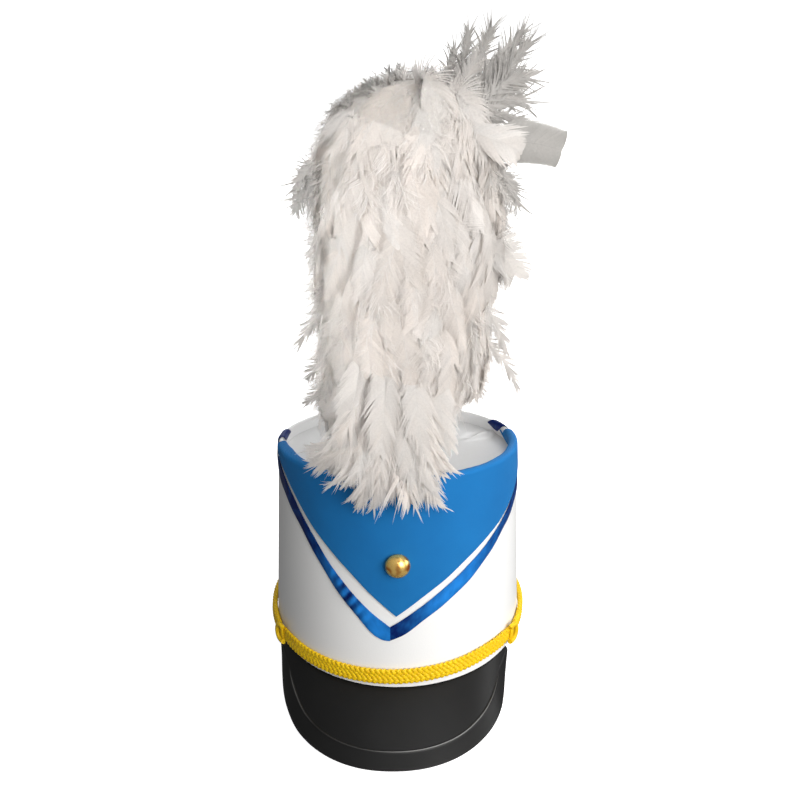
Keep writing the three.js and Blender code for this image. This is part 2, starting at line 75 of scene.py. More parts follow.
def shellPoint(angle, height, offset):
    # angle is in degrees from the front, and more than 0 to the right as seen from there
    turn = np.radians(angle)
    halfWidth, halfDepth = shellSize(height)
    outX = np.sin(turn) / halfWidth
    outY = -np.cos(turn) / halfDepth
    size = np.hypot(outX, outY)
    x = halfWidth * np.sin(turn) + offset * outX / size
    y = -halfDepth * np.cos(turn) + offset * outY / size
    return np.stack(np.broadcast_arrays(x, y, height), axis=-1)


def rimHeight(angle):
    ahead = np.cos(np.radians(angle))
    taper = (shell["bottomHalfDepth"] - shell["topHalfDepth"]) / shell["height"]
    level = shell["height"] + shell["topSlope"] * shell["bottomHalfDepth"] * ahead
    return level / (1 + shell["topSlope"] * taper * ahead)


def drapePoint(angle, height, offset, roll=0):      # roll is how far the inner side stands off
    springLine = rimHeight(angle) - rimRadius
    past = height - springLine
    turn = np.clip(past / rimRadius, 0, math.pi)
    radius = rimRadius + offset
    level = np.where(past <= 0, height, springLine + radius * np.sin(turn))
    level = np.where(past >= rimArc, springLine - (past - rimArc), level)
    out = np.where(past <= 0, offset, -rimRadius + radius * np.cos(turn))
    out = np.where(past >= rimArc, -shell["wall"] - offset, out)
    return shellPoint(angle, level, out - roll)


def readTable(table, angle, column):
    return np.interp(angle, [row[0] for row in table], [row[column] for row in table])


def easeCurve(table, column, angle):       # a rounded line through the table's rows
    knots = np.array([row[0] for row in table], float)
    values = np.array([row[column] for row in table], float)
    slopes = np.gradient(values, knots)
    i = np.clip(np.searchsorted(knots, angle) - 1, 0, len(knots) - 2)
    span = knots[i + 1] - knots[i]
    t = np.clip((angle - knots[i]) / span, 0, 1)
    return ((2 * t**3 - 3 * t**2 + 1) * values[i] + (t**3 - 2 * t**2 + t) * span * slopes[i]
            + (3 * t**2 - 2 * t**3) * values[i + 1] + (t**3 - t**2) * span * slopes[i + 1])


# modelling and material helpers

def unit(vectors):
    return vectors / np.maximum(np.linalg.norm(vectors, axis=-1, keepdims=True), 1e-9)


def clearSelection():
    if bpy.context.mode != "OBJECT":
        bpy.ops.object.mode_set(mode="OBJECT")
    bpy.ops.object.select_all(action="DESELECT")


def takeUp(piece):
    clearSelection()
    piece.select_set(True)
    bpy.context.view_layer.objects.active = piece


def namePiece(name):
    piece = bpy.context.object
    piece.name = name
    piece.data.name = name
    return piece


def modify(piece, kind, **settings):
    takeUp(piece)
    modifier = piece.modifiers.new(kind.title(), kind)
    for setting, value in settings.items():
        setattr(modifier, setting, value)
    bpy.ops.object.modifier_apply(modifier=modifier.name)


def selectEdges(piece, test):              # in edit mode
    mesh = bmesh.from_edit_mesh(piece.data)
    for part in mesh.verts[:] + mesh.edges[:] + mesh.faces[:]:
        part.select_set(False)
    for edge in mesh.edges:
        if test(edge):
            edge.select_set(True)
    bmesh.update_edit_mesh(piece.data)


def placeOnHat(piece, node, smoothAngle):
    piece.matrix_world = hatPlace @ piece.matrix_world
    takeUp(piece)
    bpy.ops.object.transform_apply(location=True, rotation=True, scale=True)
    bpy.ops.object.shade_smooth_by_angle(angle=math.radians(smoothAngle))
    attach(piece, "root")
    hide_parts(node)


def shapeGrid(name, across, along, place, flatPlace=None):
    # a flat grid whose corners' places, 0 to 1 each way, are laid on a surface by place
    clearSelection()
    bpy.ops.mesh.primitive_grid_add(x_subdivisions=across, y_subdivisions=along, size=1)
    piece = namePiece(name)
    mesh = piece.data
    flat = np.empty(len(mesh.vertices) * 3)
    mesh.vertices.foreach_get("co", flat)
    flat = flat.reshape(-1, 3) + 0.5
    points = place(flat[:, 0], flat[:, 1])
    mesh.vertices.foreach_set("co", points.reshape(-1))
    if flatPlace:
        cloth = flatPlace(flat[:, 0], flat[:, 1])
        corners = np.empty(len(mesh.loops), int)
        mesh.loops.foreach_get("vertex_index", corners)
        mesh.uv_layers.active.data.foreach_set("uv", cloth[corners].reshape(-1))
    mesh.update()
    return piece


def spreadPlaces(across, along):           # the places, 0 to 1 each way, of such a grid's corners
    return (np.tile(np.linspace(0, 1, across + 1), along + 1),
            np.repeat(np.linspace(0, 1, along + 1), across + 1))


def paintPoints(piece, name, values):
    layer = piece.data.attributes.new(name, "FLOAT", "POINT")
    layer.data.foreach_set("value", values.astype(np.float32))


def faceOutwards(piece):
    takeUp(piece)
    bpy.ops.object.mode_set(mode="EDIT")
    bpy.ops.mesh.select_all(action="SELECT")
    bpy.ops.mesh.remove_doubles(threshold=0.000002)
    bpy.ops.mesh.normals_make_consistent(inside=False)
    bpy.ops.object.mode_set(mode="OBJECT")


def linkPiece(name, mesh):
    piece = bpy.data.objects.new(name, mesh)
    bpy.context.scene.collection.objects.link(piece)
    return piece


def newMaterial(name, colour, roughness, **settings):
    material = bpy.data.materials.new(name)
    material.use_nodes = True
    shader = material.node_tree.nodes["Principled BSDF"]
    shader.inputs["Base Color"].default_value = (*colour, 1)
    shader.inputs["Roughness"].default_value = roughness
    for socket, value in settings.items():
        shader.inputs[socket].default_value = value
    return material, material.node_tree, shader


def addNode(tree, kind, inputs=None, **settings):
    node = tree.nodes.new(kind)
    for setting, value in settings.items():
        setattr(node, setting, value)
    for socket, value in (inputs or {}).items():
        if isinstance(value, bpy.types.NodeSocket):
            tree.links.new(value, node.inputs[socket])
        else:
            node.inputs[socket].default_value = value
    return node


def objectPlace(tree):
    return tree.nodes.new("ShaderNodeTexCoord").outputs["Object"]


def addBump(tree, shader, height, strength, distance, before=None):
    inputs = {"Height": height, "Strength": strength, "Distance": distance}
    if before:
        inputs["Normal"] = before.outputs["Normal"]
    bump = addNode(tree, "ShaderNodeBump", inputs)
    tree.links.new(bump.outputs["Normal"], shader.inputs["Normal"])
    return bump


def blendColours(tree, amount, low, high):
    mix = addNode(tree, "ShaderNodeMix", {0: amount}, data_type="RGBA")
    mix.inputs[6].default_value = (*low, 1)
    mix.inputs[7].default_value = (*high, 1)
    return mix.outputs[2]


def colourBetween(tree, shader, amount, low, high):
    tree.links.new(blendColours(tree, amount, low, high), shader.inputs["Base Color"])


def addNoise(tree, place, scale, detail):
    inputs = {"Vector": place, "Scale": scale, "Detail": detail}
    return addNode(tree, "ShaderNodeTexNoise", inputs).outputs["Fac"]


def addMaths(tree, operation, first, second=0.0, **settings):
    inputs = {0: first, 1: second}
    return addNode(tree, "ShaderNodeMath", inputs, operation=operation, **settings).outputs[0]


def addRange(tree, value, low, high, toLow=0.0, toHigh=1.0):
    inputs = {"Value": value, "From Min": low, "From Max": high, "To Min": toLow, "To Max": toHigh}
    return addNode(tree, "ShaderNodeMapRange", inputs).outputs["Result"]


# studio

studio = {
    "cameraPlace": (0.0, -0.74306, 0.48774),   # as the upright hat would see it
    "cameraPitch": 23.34,                      # degrees down
    "cameraYaw": 0.15,                         # and to the right
    "lens": 53.1,
    "floorColour": (0.92, 0.92, 0.92),
    "floorGlow": 0.85,
    "target": (0, 0, 0.2),
    "keyTurn": 33,                             # degrees round to the right
    "keyRise": 27,
    "keyReach": 1.5,
    "keySize": 1.1,
    "keyEnergy": 26,
    "keyColour": (1, 0.985, 0.965),
    "lamps": [                                 # place, target, size, energy and spread in degrees
        ("top", (0.25, 0.1, 1.6), (0, 0, 0.2), (1.2, 1.2), 6, 180),
        ("side", (1.5, 0.1, 0.45), (0, 0, 0.1), (1.0, 0.6), 8, 180),
        ("back", (0.25, 1.4, 0.75), (0, 0, 0.2), (1.2, 0.8), 8, 180),
        ("plume lamp", (-1.2, -0.62, 0.6), (0, 0, 0.35), (0.1, 0.1), 0.11, 14.5),
        ("low plume lamp", (-1.2, -0.5, 0.42), (0, 0, 0.250), (0.06, 0.06), 0.030, 9.5),
        ("rear plume lamp", (0.45, 1.3, 0.60), (0, 0, 0.31), (0.1, 0.1), 0.13, 17.0)],
    "worldTop": 0.34,
    "worldSide": 0.17,
}


def addAreaLamp(name, place, target, size, energy, spread, colour=(1, 1, 1)):
    clearSelection()
    bpy.ops.object.light_add(type="AREA")
    lamp = bpy.context.object
    lamp.name = name
    lamp.data.shape = "RECTANGLE"
    lamp.data.size, lamp.data.size_y = size
    lamp.data.energy = energy
    lamp.data.spread = math.radians(spread)
    lamp.data.color = colour
    lamp.location = place
    lamp.rotation_euler = (Vector(target) - Vector(place)).to_track_quat("-Z", "Y").to_euler()


def makeStudio():
    scene = bpy.context.scene
    scene.view_settings.view_transform = "Standard"
    pitch = math.radians(studio["cameraPitch"]) + lean
    clearSelection()
    bpy.ops.object.camera_add()
    camera = bpy.context.object
    camera.name = "camera"
    camera.data.lens = studio["lens"]
    camera.data.sensor_width = 36
    camera.data.clip_end = 30
    camera.location = hatPlace @ Vector(studio["cameraPlace"])
    camera.rotation_euler = (math.pi / 2 - pitch, 0, -math.radians(studio["cameraYaw"]))
    scene.camera = camera

    clearSelection()
    bpy.ops.mesh.primitive_plane_add(size=24, location=(0, 4, -0.0002))
    floor = namePiece("floor")
    material, tree, shader = newMaterial("pale floor", studio["floorColour"], 0.9)
    shader.inputs["Emission Color"].default_value = (1, 1, 1, 1)
    shader.inputs["Emission Strength"].default_value = studio["floorGlow"]
    floor.data.materials.append(material)
    floor.visible_diffuse = False
    floor.visible_glossy = False

    turn, rise = math.radians(studio["keyTurn"]), math.radians(studio["keyRise"])
    toKey = Vector((math.sin(turn) * math.cos(rise), -math.cos(turn) * math.cos(rise), math.sin(rise)))
    keySize = (studio["keySize"], studio["keySize"])
    keyPlace = Vector(studio["target"]) + studio["keyReach"] * toKey
    addAreaLamp(
        "key", keyPlace, studio["target"], keySize, studio["keyEnergy"], 180, studio["keyColour"])
    for lamp in studio["lamps"]:
        addAreaLamp(*lamp)

    world = bpy.data.worlds.new("studio") if scene.world is None else scene.world
    scene.world = world
    world.use_nodes = True
    tree = world.node_tree
    background = tree.nodes["Background"]
    place = addNode(tree, "ShaderNodeTexCoord")
    split = addNode(tree, "ShaderNodeSeparateXYZ", {0: place.outputs["Generated"]})
    ramp = addRange(tree, split.outputs["Z"], 0.0, 0.9, studio["worldSide"], studio["worldTop"])
    # the camera sees plain white behind the hat, and only the pieces are lit by the ramp
    ray = addNode(tree, "ShaderNodeLightPath")
    seen = addNode(
        tree, "ShaderNodeMix", {"Factor": ray.outputs["Is Camera Ray"], "A": ramp, "B": 1.0},
        data_type="FLOAT")
    tree.links.new(seen.outputs["Result"], background.inputs["Strength"])
    background.inputs["Color"].default_value = (1, 1, 1, 1)


makeStudio()
print("studio: camera, floor and lamps")


# finishes

def vinylMaterial(name, shade):
    material, tree, shader = newMaterial(name, (0.86 * shade, 0.86 * shade, 0.855 * shade), 0.34)
    shader.inputs["Specular IOR Level"].default_value = 0.42
    place = objectPlace(tree)
    low = (0.83 * shade, 0.83 * shade, 0.825 * shade)
    high = (0.89 * shade, 0.89 * shade, 0.885 * shade)
    colourBetween(tree, shader, addNoise(tree, place, 14.0, 3.0), low, high)
    grain = addNode(tree, "ShaderNodeTexVoronoi", {"Vector": place, "Scale": 950.0})
    swell = addBump(tree, shader, addNoise(tree, place, 9.0, 1.0), 0.12, 0.004)
    pitted = addBump(tree, shader, grain.outputs["Distance"], 0.16, 0.00025, swell)
    addBump(tree, shader, addNoise(tree, place, 480.0, 3.0), 0.12, 0.0002, pitted)
    return material


def weaveMaterial(name, dark, light, pitch, roughness):
    material, tree, shader = newMaterial(name, light, roughness)
    shader.inputs["Specular IOR Level"].default_value = 0.12
    shader.inputs["Sheen Weight"].default_value = 0.03
    shader.inputs["Sheen Roughness"].default_value = 0.4
    cloth = tree.nodes.new("ShaderNodeUVMap").outputs["UV"]
    wiggle = addNode(tree, "ShaderNodeTexNoise", {"Vector": cloth, "Scale": 180.0, "Detail": 2.0})
    bend = addNode(
        tree, "ShaderNodeVectorMath", {0: wiggle.outputs["Color"], 1: (0.0004, 0.0004, 0)},
        operation="MULTIPLY")
    moved = addNode(tree, "ShaderNodeVectorMath", {0: cloth, 1: bend.outputs[0]}, operation="ADD")
    waves = {"Vector": moved.outputs[0], "Scale": 0.314 / pitch}
    warp = addNode(tree, "ShaderNodeTexWave", waves, bands_direction="X")
    weft = addNode(tree, "ShaderNodeTexWave", waves, bands_direction="Y")
    threads = addMaths(tree, "MULTIPLY", warp.outputs["Fac"], weft.outputs["Fac"])
    fuzzy = addMaths(tree, "ADD", threads, addNoise(tree, cloth, 30.0, 5.0))
    colourBetween(tree, shader, addRange(tree, fuzzy, 0.2, 1.3), dark, light)
    addBump(tree, shader, threads, 0.5, 0.00018)
    return material


whiteVinyl = vinylMaterial("white vinyl", 1)
blueCloth = weaveMaterial("blue cloth", (0.009, 0.137, 0.39), (0.013, 0.185, 0.49), 0.0006, 0.75)


# crown shell

shellMake = {
    "corners": 180,
    "toolTop": 0.16,          # the tube is made longer, and cut at a slope
    "rimRounds": 4,
}


def makeCrownShell():
    clearSelection()
    bpy.ops.mesh.primitive_circle_add(vertices=shellMake["corners"], radius=1, fill_type="NOTHING")
    tube = namePiece("crownShellVinyl")
    bpy.ops.object.mode_set(mode="EDIT")
    bpy.ops.mesh.select_all(action="SELECT")
    bpy.ops.transform.resize(
        value=(shell["bottomHalfWidth"], shell["bottomHalfDepth"], 1), center_override=(0, 0, 0))
    rise = shellMake["toolTop"] / shell["height"]
    narrowX = 1 + (shell["topHalfWidth"] / shell["bottomHalfWidth"] - 1) * rise
    narrowY = 1 + (shell["topHalfDepth"] / shell["bottomHalfDepth"] - 1) * rise
    bpy.ops.mesh.extrude_region_move(TRANSFORM_OT_translate={"value": (0, 0, shellMake["toolTop"])})
    bpy.ops.transform.resize(value=(narrowX, narrowY, 1), center_override=(0, 0, shellMake["toolTop"]))
    bpy.ops.mesh.select_all(action="SELECT")
    bpy.ops.mesh.bisect(
        plane_co=(0, 0, shell["height"]), plane_no=(0, shell["topSlope"], 1), clear_outer=True)
    bpy.ops.object.mode_set(mode="OBJECT")
    faceOutwards(tube)
    modify(tube, "SOLIDIFY", thickness=shell["wall"], offset=-1, use_even_offset=True)
    takeUp(tube)
    bpy.ops.object.mode_set(mode="EDIT")

    def onTopEdge(edge):                   # the long edges round the two sides of the top rim
        middle = (edge.verts[0].co + edge.verts[1].co) / 2
        level = shell["height"] - shell["topSlope"] * middle.y
        across = (edge.verts[0].co - edge.verts[1].co).length
        return middle.z > level - 0.0006 and across > shell["wall"] * 1.01

    selectEdges(tube, onTopEdge)
    bpy.ops.mesh.bevel(offset=rimRadius * 0.96, segments=shellMake["rimRounds"], affect="EDGES")
    bpy.ops.object.mode_set(mode="OBJECT")
    tube.data.materials.append(whiteVinyl)
    placeOnHat(tube, "crown_shell", smoothAngle=50)


makeCrownShell()
print("crown shell: wall and rounded rim")


# recessed top

topMake = {
    "depth": 0.010,
    "thickness": 0.0022,
    "corners": 120,
    "rings": 10,
    "edgeRing": 0.0022,       # width of the two outer rings
    "taper": 0.073,           # it is a slice of the tapered shell, a little wider at its low back
    "edgeCurl": 0.0012,       # the vinyl turns up a little where it meets the wall
    "curlWidth": 0.0045,
    "creasePlace": (0.062, 0.036),
    "creaseTurn": 41,         # degrees
    "creaseLength": 0.011,
    "creaseHeight": 0.0036,
    "swell": 0.0004,
    # the top's vinyl is painted greyer than the wall, as painted shade in the recess
    "shade": 0.74,            # a little greyer than the wall
}


def makeCrownTop():
    clearSelection()
    bpy.ops.mesh.primitive_circle_add(vertices=topMake["corners"], radius=1, fill_type="NGON")
    plate = namePiece("crownTopVinyl")
    level = shell["height"] - topMake["depth"]
    inset = shell["wall"] + clearance
    halfWidth, halfDepth = (half - inset for half in shellSize(level))
    bpy.ops.object.mode_set(mode="EDIT")
    bpy.ops.mesh.select_all(action="SELECT")
    bpy.ops.transform.resize(value=(halfWidth, halfDepth, 1), center_override=(0, 0, 0))
    for ring in range(topMake["rings"]):
        width = topMake["edgeRing"] if ring < 2 else halfWidth / (topMake["rings"] + 1)
        bpy.ops.mesh.inset(thickness=width, use_even_offset=False)
    bpy.ops.mesh.poke()
    bpy.ops.mesh.select_all(action="SELECT")
    bpy.ops.mesh.subdivide(number_cuts=2)
    bpy.ops.object.mode_set(mode="OBJECT")
    points = np.empty(len(plate.data.vertices) * 3)
    plate.data.vertices.foreach_get("co", points)
    points = points.reshape(-1, 3)
    x, y = points[:, 0].copy(), points[:, 1].copy()
    slide = 1 - topMake["taper"] * (-shell["topSlope"] * y) / shell["height"]
    points[:, 0] = x * slide
    points[:, 1] = y * slide
    edge = 1 - np.hypot(x / halfWidth, y / halfDepth)
    curl = topMake["edgeCurl"] * np.clip(1 - edge * halfWidth / topMake["curlWidth"], 0, 1) ** 2
    turn = math.radians(topMake["creaseTurn"])
    besideX, besideY = x - topMake["creasePlace"][0], y - topMake["creasePlace"][1]
    along = besideX * math.cos(turn) + besideY * math.sin(turn)
    aside = -besideX * math.sin(turn) + besideY * math.cos(turn)
    ridge = np.exp(-(aside / 0.0028) ** 2) - 0.7 * np.exp(-((aside - 0.006) / 0.0035) ** 2)
    crease = np.exp(-(along / topMake["creaseLength"]) ** 2) * ridge
    swell = topMake["swell"] * np.sin(x * 70 + 1.2) * np.sin(y * 60) * np.clip(edge * 6, 0, 1)
    flat = level - shell["topSlope"] * points[:, 1]
    points[:, 2] = flat + curl + topMake["creaseHeight"] * crease + swell
    plate.data.vertices.foreach_set("co", points.reshape(-1))
    plate.data.update()
    modify(plate, "SOLIDIFY", thickness=topMake["thickness"], offset=-1)
    # painted shade: the recessed top's vinyl is made darker than the wall's
    plate.data.materials.append(vinylMaterial("vinyl of the top in painted shade", topMake["shade"]))
    placeOnHat(plate, "crown_top", smoothAngle=60)


makeCrownTop()
print("crown top: recessed plate with a crease")


# front panel

# angle round the shell from the front, and height of the panel's lower edge on each side
panelLeft = [
    (-92, 0.146), (-82, 0.1405), (-73, 0.1365), (-62, 0.1305), (-54, 0.1235), (-44, 0.1115),
    (-33, 0.0985), (-22, 0.0848), (-11, 0.0690), (-0.6, 0.0545)]
panelRight = [
    (-0.6, 0.0545), (11, 0.0680), (22, 0.0790), (33, 0.0898), (44, 0.0980), (56, 0.1055),
    (66, 0.1125), (78, 0.1195), (88, 0.1255), (96, 0.1310), (103, 0.1370), (110, 0.1430)]
panelMake = {
    "columnsLeft": 92,
    "columnsRight": 110,
    "rows": 84,
    "thickness": 0.0009,
    "foldInside": 0.0074,
    "foldRound": 0.0050,      # cut back at its two ends,
    "foldRoundOver": 13,      # over so many degrees
    "roll": [(-75, 0.0048), (-30, 0.0010), (30, 0.0010), (75, 0.0016)],   # how far it stands off inside
    "rollEase": 20,           # degrees, at its two ends
    "looseness": 0.00015,
    "ripple": 0.00012,
    "hemRound": 0.00028,
    "flatCut": (0.312, 0.110),   # the rectangle that the V is cut from
    "flatArea": 0.0165,
}
shellGirth = 0.00154          # metres round the shell for one degree


def foldEnd(angle):
    return rimHeight(angle) - rimRadius + rimArc + panelMake["foldInside"]


def fromEnd(angle):                        # degrees to the nearer end of the panel
    return np.minimum(angle - panelLeft[0][0], panelRight[-1][0] - angle)


def makeFrontPanel():
    columns = panelMake["columnsLeft"] + panelMake["columnsRight"]
    apex = panelMake["columnsLeft"] / columns

    def spot(u, v):
        angle = np.interp(u, [0, apex, 1], [panelLeft[0][0], panelLeft[-1][0], panelRight[-1][0]])
        leftEdge, rightEdge = easeCurve(panelLeft, 1, angle), easeCurve(panelRight, 1, angle)
        lower = np.where(angle <= panelLeft[-1][0], leftEdge, rightEdge)
        near = 1 - np.clip(fromEnd(angle) / panelMake["foldRoundOver"], 0, 1)
        upper = foldEnd(angle) - panelMake["foldRound"] * near**2
        lower = np.minimum(lower, upper - 0.0006)
        return angle, lower + (upper - lower) * (1 - (1 - v) ** 1.6)

    def place(u, v):
        angle, height = spot(u, v)
        ripple = panelMake["ripple"] * np.sin(angle * 0.31) * np.sin(height * 120)
        crest = rimHeight(angle) - rimRadius + 0.4 * rimArc
        inside = np.clip((height - crest) / (foldEnd(angle) - crest), 0, 1)
        stand = readTable(panelMake["roll"], angle, 1)
        stand = stand * np.clip(fromEnd(angle) / panelMake["rollEase"], 0, 1)
        offset = clearance + panelMake["looseness"] + ripple
        return drapePoint(angle, height, offset, stand * np.sin(math.pi * inside**0.6))

    def flatPlace(u, v):
        angle, height = spot(u, v)
        return np.stack([angle * shellGirth, height], axis=-1)

    panel = shapeGrid("frontPanelCloth", columns, panelMake["rows"], place, flatPlace)
    modify(panel, "SOLIDIFY", thickness=panelMake["thickness"], offset=1, use_even_offset=False)
    modify(
        panel, "BEVEL", width=panelMake["hemRound"], segments=2, limit_method="ANGLE",
        angle_limit=math.radians(60))
    panel.data.materials.append(blueCloth)
    placeOnHat(panel, "front_panel", smoothAngle=50)


makeFrontPanel()
print("front panel: cloth draped over the rim")


# ribbon chevron

# angle, and height of the lower and the upper edge
ribbonLeft = [
    (-104.8, 0.1377, 0.1483), (-99, 0.1336, 0.1445), (-92, 0.1306, 0.1400),
    (-82, 0.1266, 0.1354), (-72, 0.1215, 0.1310), (-62, 0.1145, 0.1250), (-50, 0.1030, 0.1130),
    (-39, 0.0870, 0.0975), (-28, 0.0682, 0.0798), (-18, 0.0520, 0.0650), (-9.5, 0.0388, 0.0534),
    (-6, 0.0362, 0.0495), (-3.2, 0.0361, 0.0462)]
ribbonRight = [
    (-3.2, 0.0361, 0.0462), (2.5, 0.0404, 0.0520), (11, 0.0500, 0.0612), (22, 0.0610, 0.0725),
    (33, 0.0716, 0.0830), (44, 0.0830, 0.0924), (56, 0.0945, 0.1020), (66, 0.1015, 0.1086),
    (78, 0.1080, 0.1155), (90, 0.1136, 0.1216), (102, 0.1210, 0.1306), (108, 0.1246, 0.1350),
    (114, 0.1284, 0.1405), (122, 0.1342, 0.1480), (122.6, 0.1346, 0.1490)]
# painted sheen: how brightly the satin is painted along each limb, standing in for its highlights
paintedSheenLeft = [
    (-108, 0.0), (-60, 0.0), (-42, 0.05), (-36, 0.25), (-33, 0.5), (-30, 0.8), (-27, 0.55),
    (-24, 0.85), (-21, 0.5), (-17, 0.9), (-8, 0.95), (-3.2, 0.8)]
paintedSheenRight = [
    (-3.2, 0.0), (3, 0.15), (9, 0.40), (16, 0.80), (27, 0.95), (36, 0.70), (48, 0.30), (66, 0.10),
    (90, 0.0), (128, 0.0)]
ribbonMake = {
    "across": 14,
    "thickness": 0.0004,
    "mitreTurn": -3.2,        # degrees, where the two limbs meet
    "mitreSpread": 3.0,
    "mitreLift": 0.0004,      # the left limb lies over the right one
    "crown": 0.00028,
    "slack": 0.00012,
    "puckerTurn": -22.5,
    "puckerSpread": 7,
    "puckerHeight": 0.0023,
    "puckerLength": 0.0100,
    "puckerShade": 0.97,
    "foldInside": 0.0048,
    "foldRound": 0.0034,      # its far corner is cut back,
    "foldRoundOver": 10,      # over so many degrees
    "width": 0.0095,
    "flatCut": (0.010, 0.41),
    "flatArea": 0.0038,
}


def satinMaterial():
    material, tree, shader = newMaterial("blue satin", (0.012, 0.07, 0.36), 0.45)
    shader.inputs["Specular IOR Level"].default_value = 0.12
    # the satin's highlights are painted into its colour, from dark navy to bright azure, by the painted
    # sheen
    face = addNode(tree, "ShaderNodeAttribute", attribute_name="paintedSatinSheen")
    cloth = tree.nodes.new("ShaderNodeUVMap").outputs["UV"]
    stretch = addNode(tree, "ShaderNodeMapping", {"Vector": cloth, "Scale": (90.0, 1500.0, 1.0)})
    threads = addNoise(tree, stretch.outputs["Vector"], 1.0, 3.0)
    uneven = addRange(tree, addNoise(tree, cloth, 160.0, 2.0), 0.35, 0.65, -0.12, 0.12)
    bright = addMaths(tree, "ADD", face.outputs["Fac"], uneven, use_clamp=True)
    colourBetween(tree, shader, bright, (0.001, 0.012, 0.105), (0.016, 0.215, 0.66))
    addBump(tree, shader, threads, 0.25, 0.00008)
    return material


blueSatin = satinMaterial()


def makeRibbonLimb(name, table, satin, lift):
    first, last = table[0][0], table[-1][0]
    columns = int(abs(last - first) * 1.6)
    outer = first if abs(first) > abs(last) else last

    def spot(u, v):
        angle = first + (last - first) * u
        lower = easeCurve(table, 1, angle)
        near = 1 - np.clip(np.abs(angle - outer) / ribbonMake["foldRoundOver"], 0, 1)
        end = foldEnd(angle) - panelMake["foldInside"] + ribbonMake["foldInside"]
        upper = np.minimum(easeCurve(table, 2, angle), end - ribbonMake["foldRound"] * near**2)
        lower = np.minimum(lower, upper - 0.0008)
        return angle, lower + (upper - lower) * v

    def puckers(angle, height):
        ease = np.exp(-((angle - ribbonMake["puckerTurn"]) / ribbonMake["puckerSpread"]) ** 2)
        travel = angle * shellGirth - 0.9 * height
        return ease, np.sin(travel * 2 * math.pi / ribbonMake["puckerLength"])

    def place(u, v):
        angle, height = spot(u, v)
        crown = ribbonMake["crown"] * (1 - (2 * v - 1) ** 4)
        ease, wave = puckers(angle, height)
        pucker = ribbonMake["puckerHeight"] * ease * (0.5 + 0.5 * wave) * np.sin(v * math.pi)
        slack = ribbonMake["slack"] * (1 + np.sin(angle * 0.42 + 3 * v))
        nearMitre = np.exp(-((angle - ribbonMake["mitreTurn"]) / ribbonMake["mitreSpread"]) ** 2)
        return drapePoint(angle, height, clearance + crown + pucker + slack + lift * nearMitre)

    def flatPlace(u, v):
        angle, height = spot(u, v)
        return np.stack([angle * shellGirth, v * ribbonMake["width"]], axis=-1)

    limb = shapeGrid(name, columns, ribbonMake["across"], place, flatPlace)
    u, v = spreadPlaces(columns, ribbonMake["across"])
    angle, height = spot(u, v)
    # the painted sheen, fainter towards the ribbon's two edges
    tone = readTable(satin, angle, 1) * (1 - 0.25 * np.abs(2 * v - 1) ** 3)
    if outer == first:                     # the left limb is in shade between its puckers
        ease, wave = puckers(angle, height)
        tone = tone * (1 - ribbonMake["puckerShade"] * ease * np.clip(0.5 - 0.9 * wave, 0, 1))
    paintPoints(limb, "paintedSatinSheen", tone)
    modify(limb, "SOLIDIFY", thickness=ribbonMake["thickness"], offset=1, use_even_offset=False)
    return limb


def makeRibbon():
    right = makeRibbonLimb("ribbonRight", ribbonRight, paintedSheenRight, 0)
    left = makeRibbonLimb("chevronRibbonSatin", ribbonLeft, paintedSheenLeft, ribbonMake["mitreLift"])
    takeUp(left)
    right.select_set(True)
    bpy.ops.object.join()
    left.data.materials.append(blueSatin)
    placeOnHat(left, "chevron_ribbon", smoothAngle=50)


makeRibbon()
print("ribbon: two limbs mitred at the front")


# button

buttonMake = {
    "height": 0.0927,
    "radius": 0.0082,
    "foot": 0.0074,           # its radius there
    "lip": 0.0010,            # the lip's height,
    "lipRound": (0.0004, 0.0002),   # and its lower edge: height, and how far inside the radius
    "dome": 0.0068,
    "standOff": 0.0002,       # from the cloth
    "corners": 64,
    "steps": 10,
}


def goldMaterial():
    material, tree, shader = newMaterial("polished gold", (0.90, 0.55, 0.14), 0.2, Metallic=0.72)
    place = objectPlace(tree)
    # the dark red-brown patches are painted reflections of the surroundings; the same noise also varies
    # the roughness
    reflectionAndRoughnessNoise = addNoise(tree, place, 150.0, 1.5)
    paintedReflection = addRange(tree, reflectionAndRoughnessNoise, 0.37, 0.52)
    colourBetween(tree, shader, paintedReflection, (0.46, 0.11, 0.006), (1.0, 0.66, 0.19))
    tree.links.new(addRange(tree, reflectionAndRoughnessNoise, 0.0, 1.0, 0.18, 0.34), shader.inputs["Roughness"])
    addBump(tree, shader, addNoise(tree, place, 180.0, 1.0), 0.2, 0.0006)
    return material


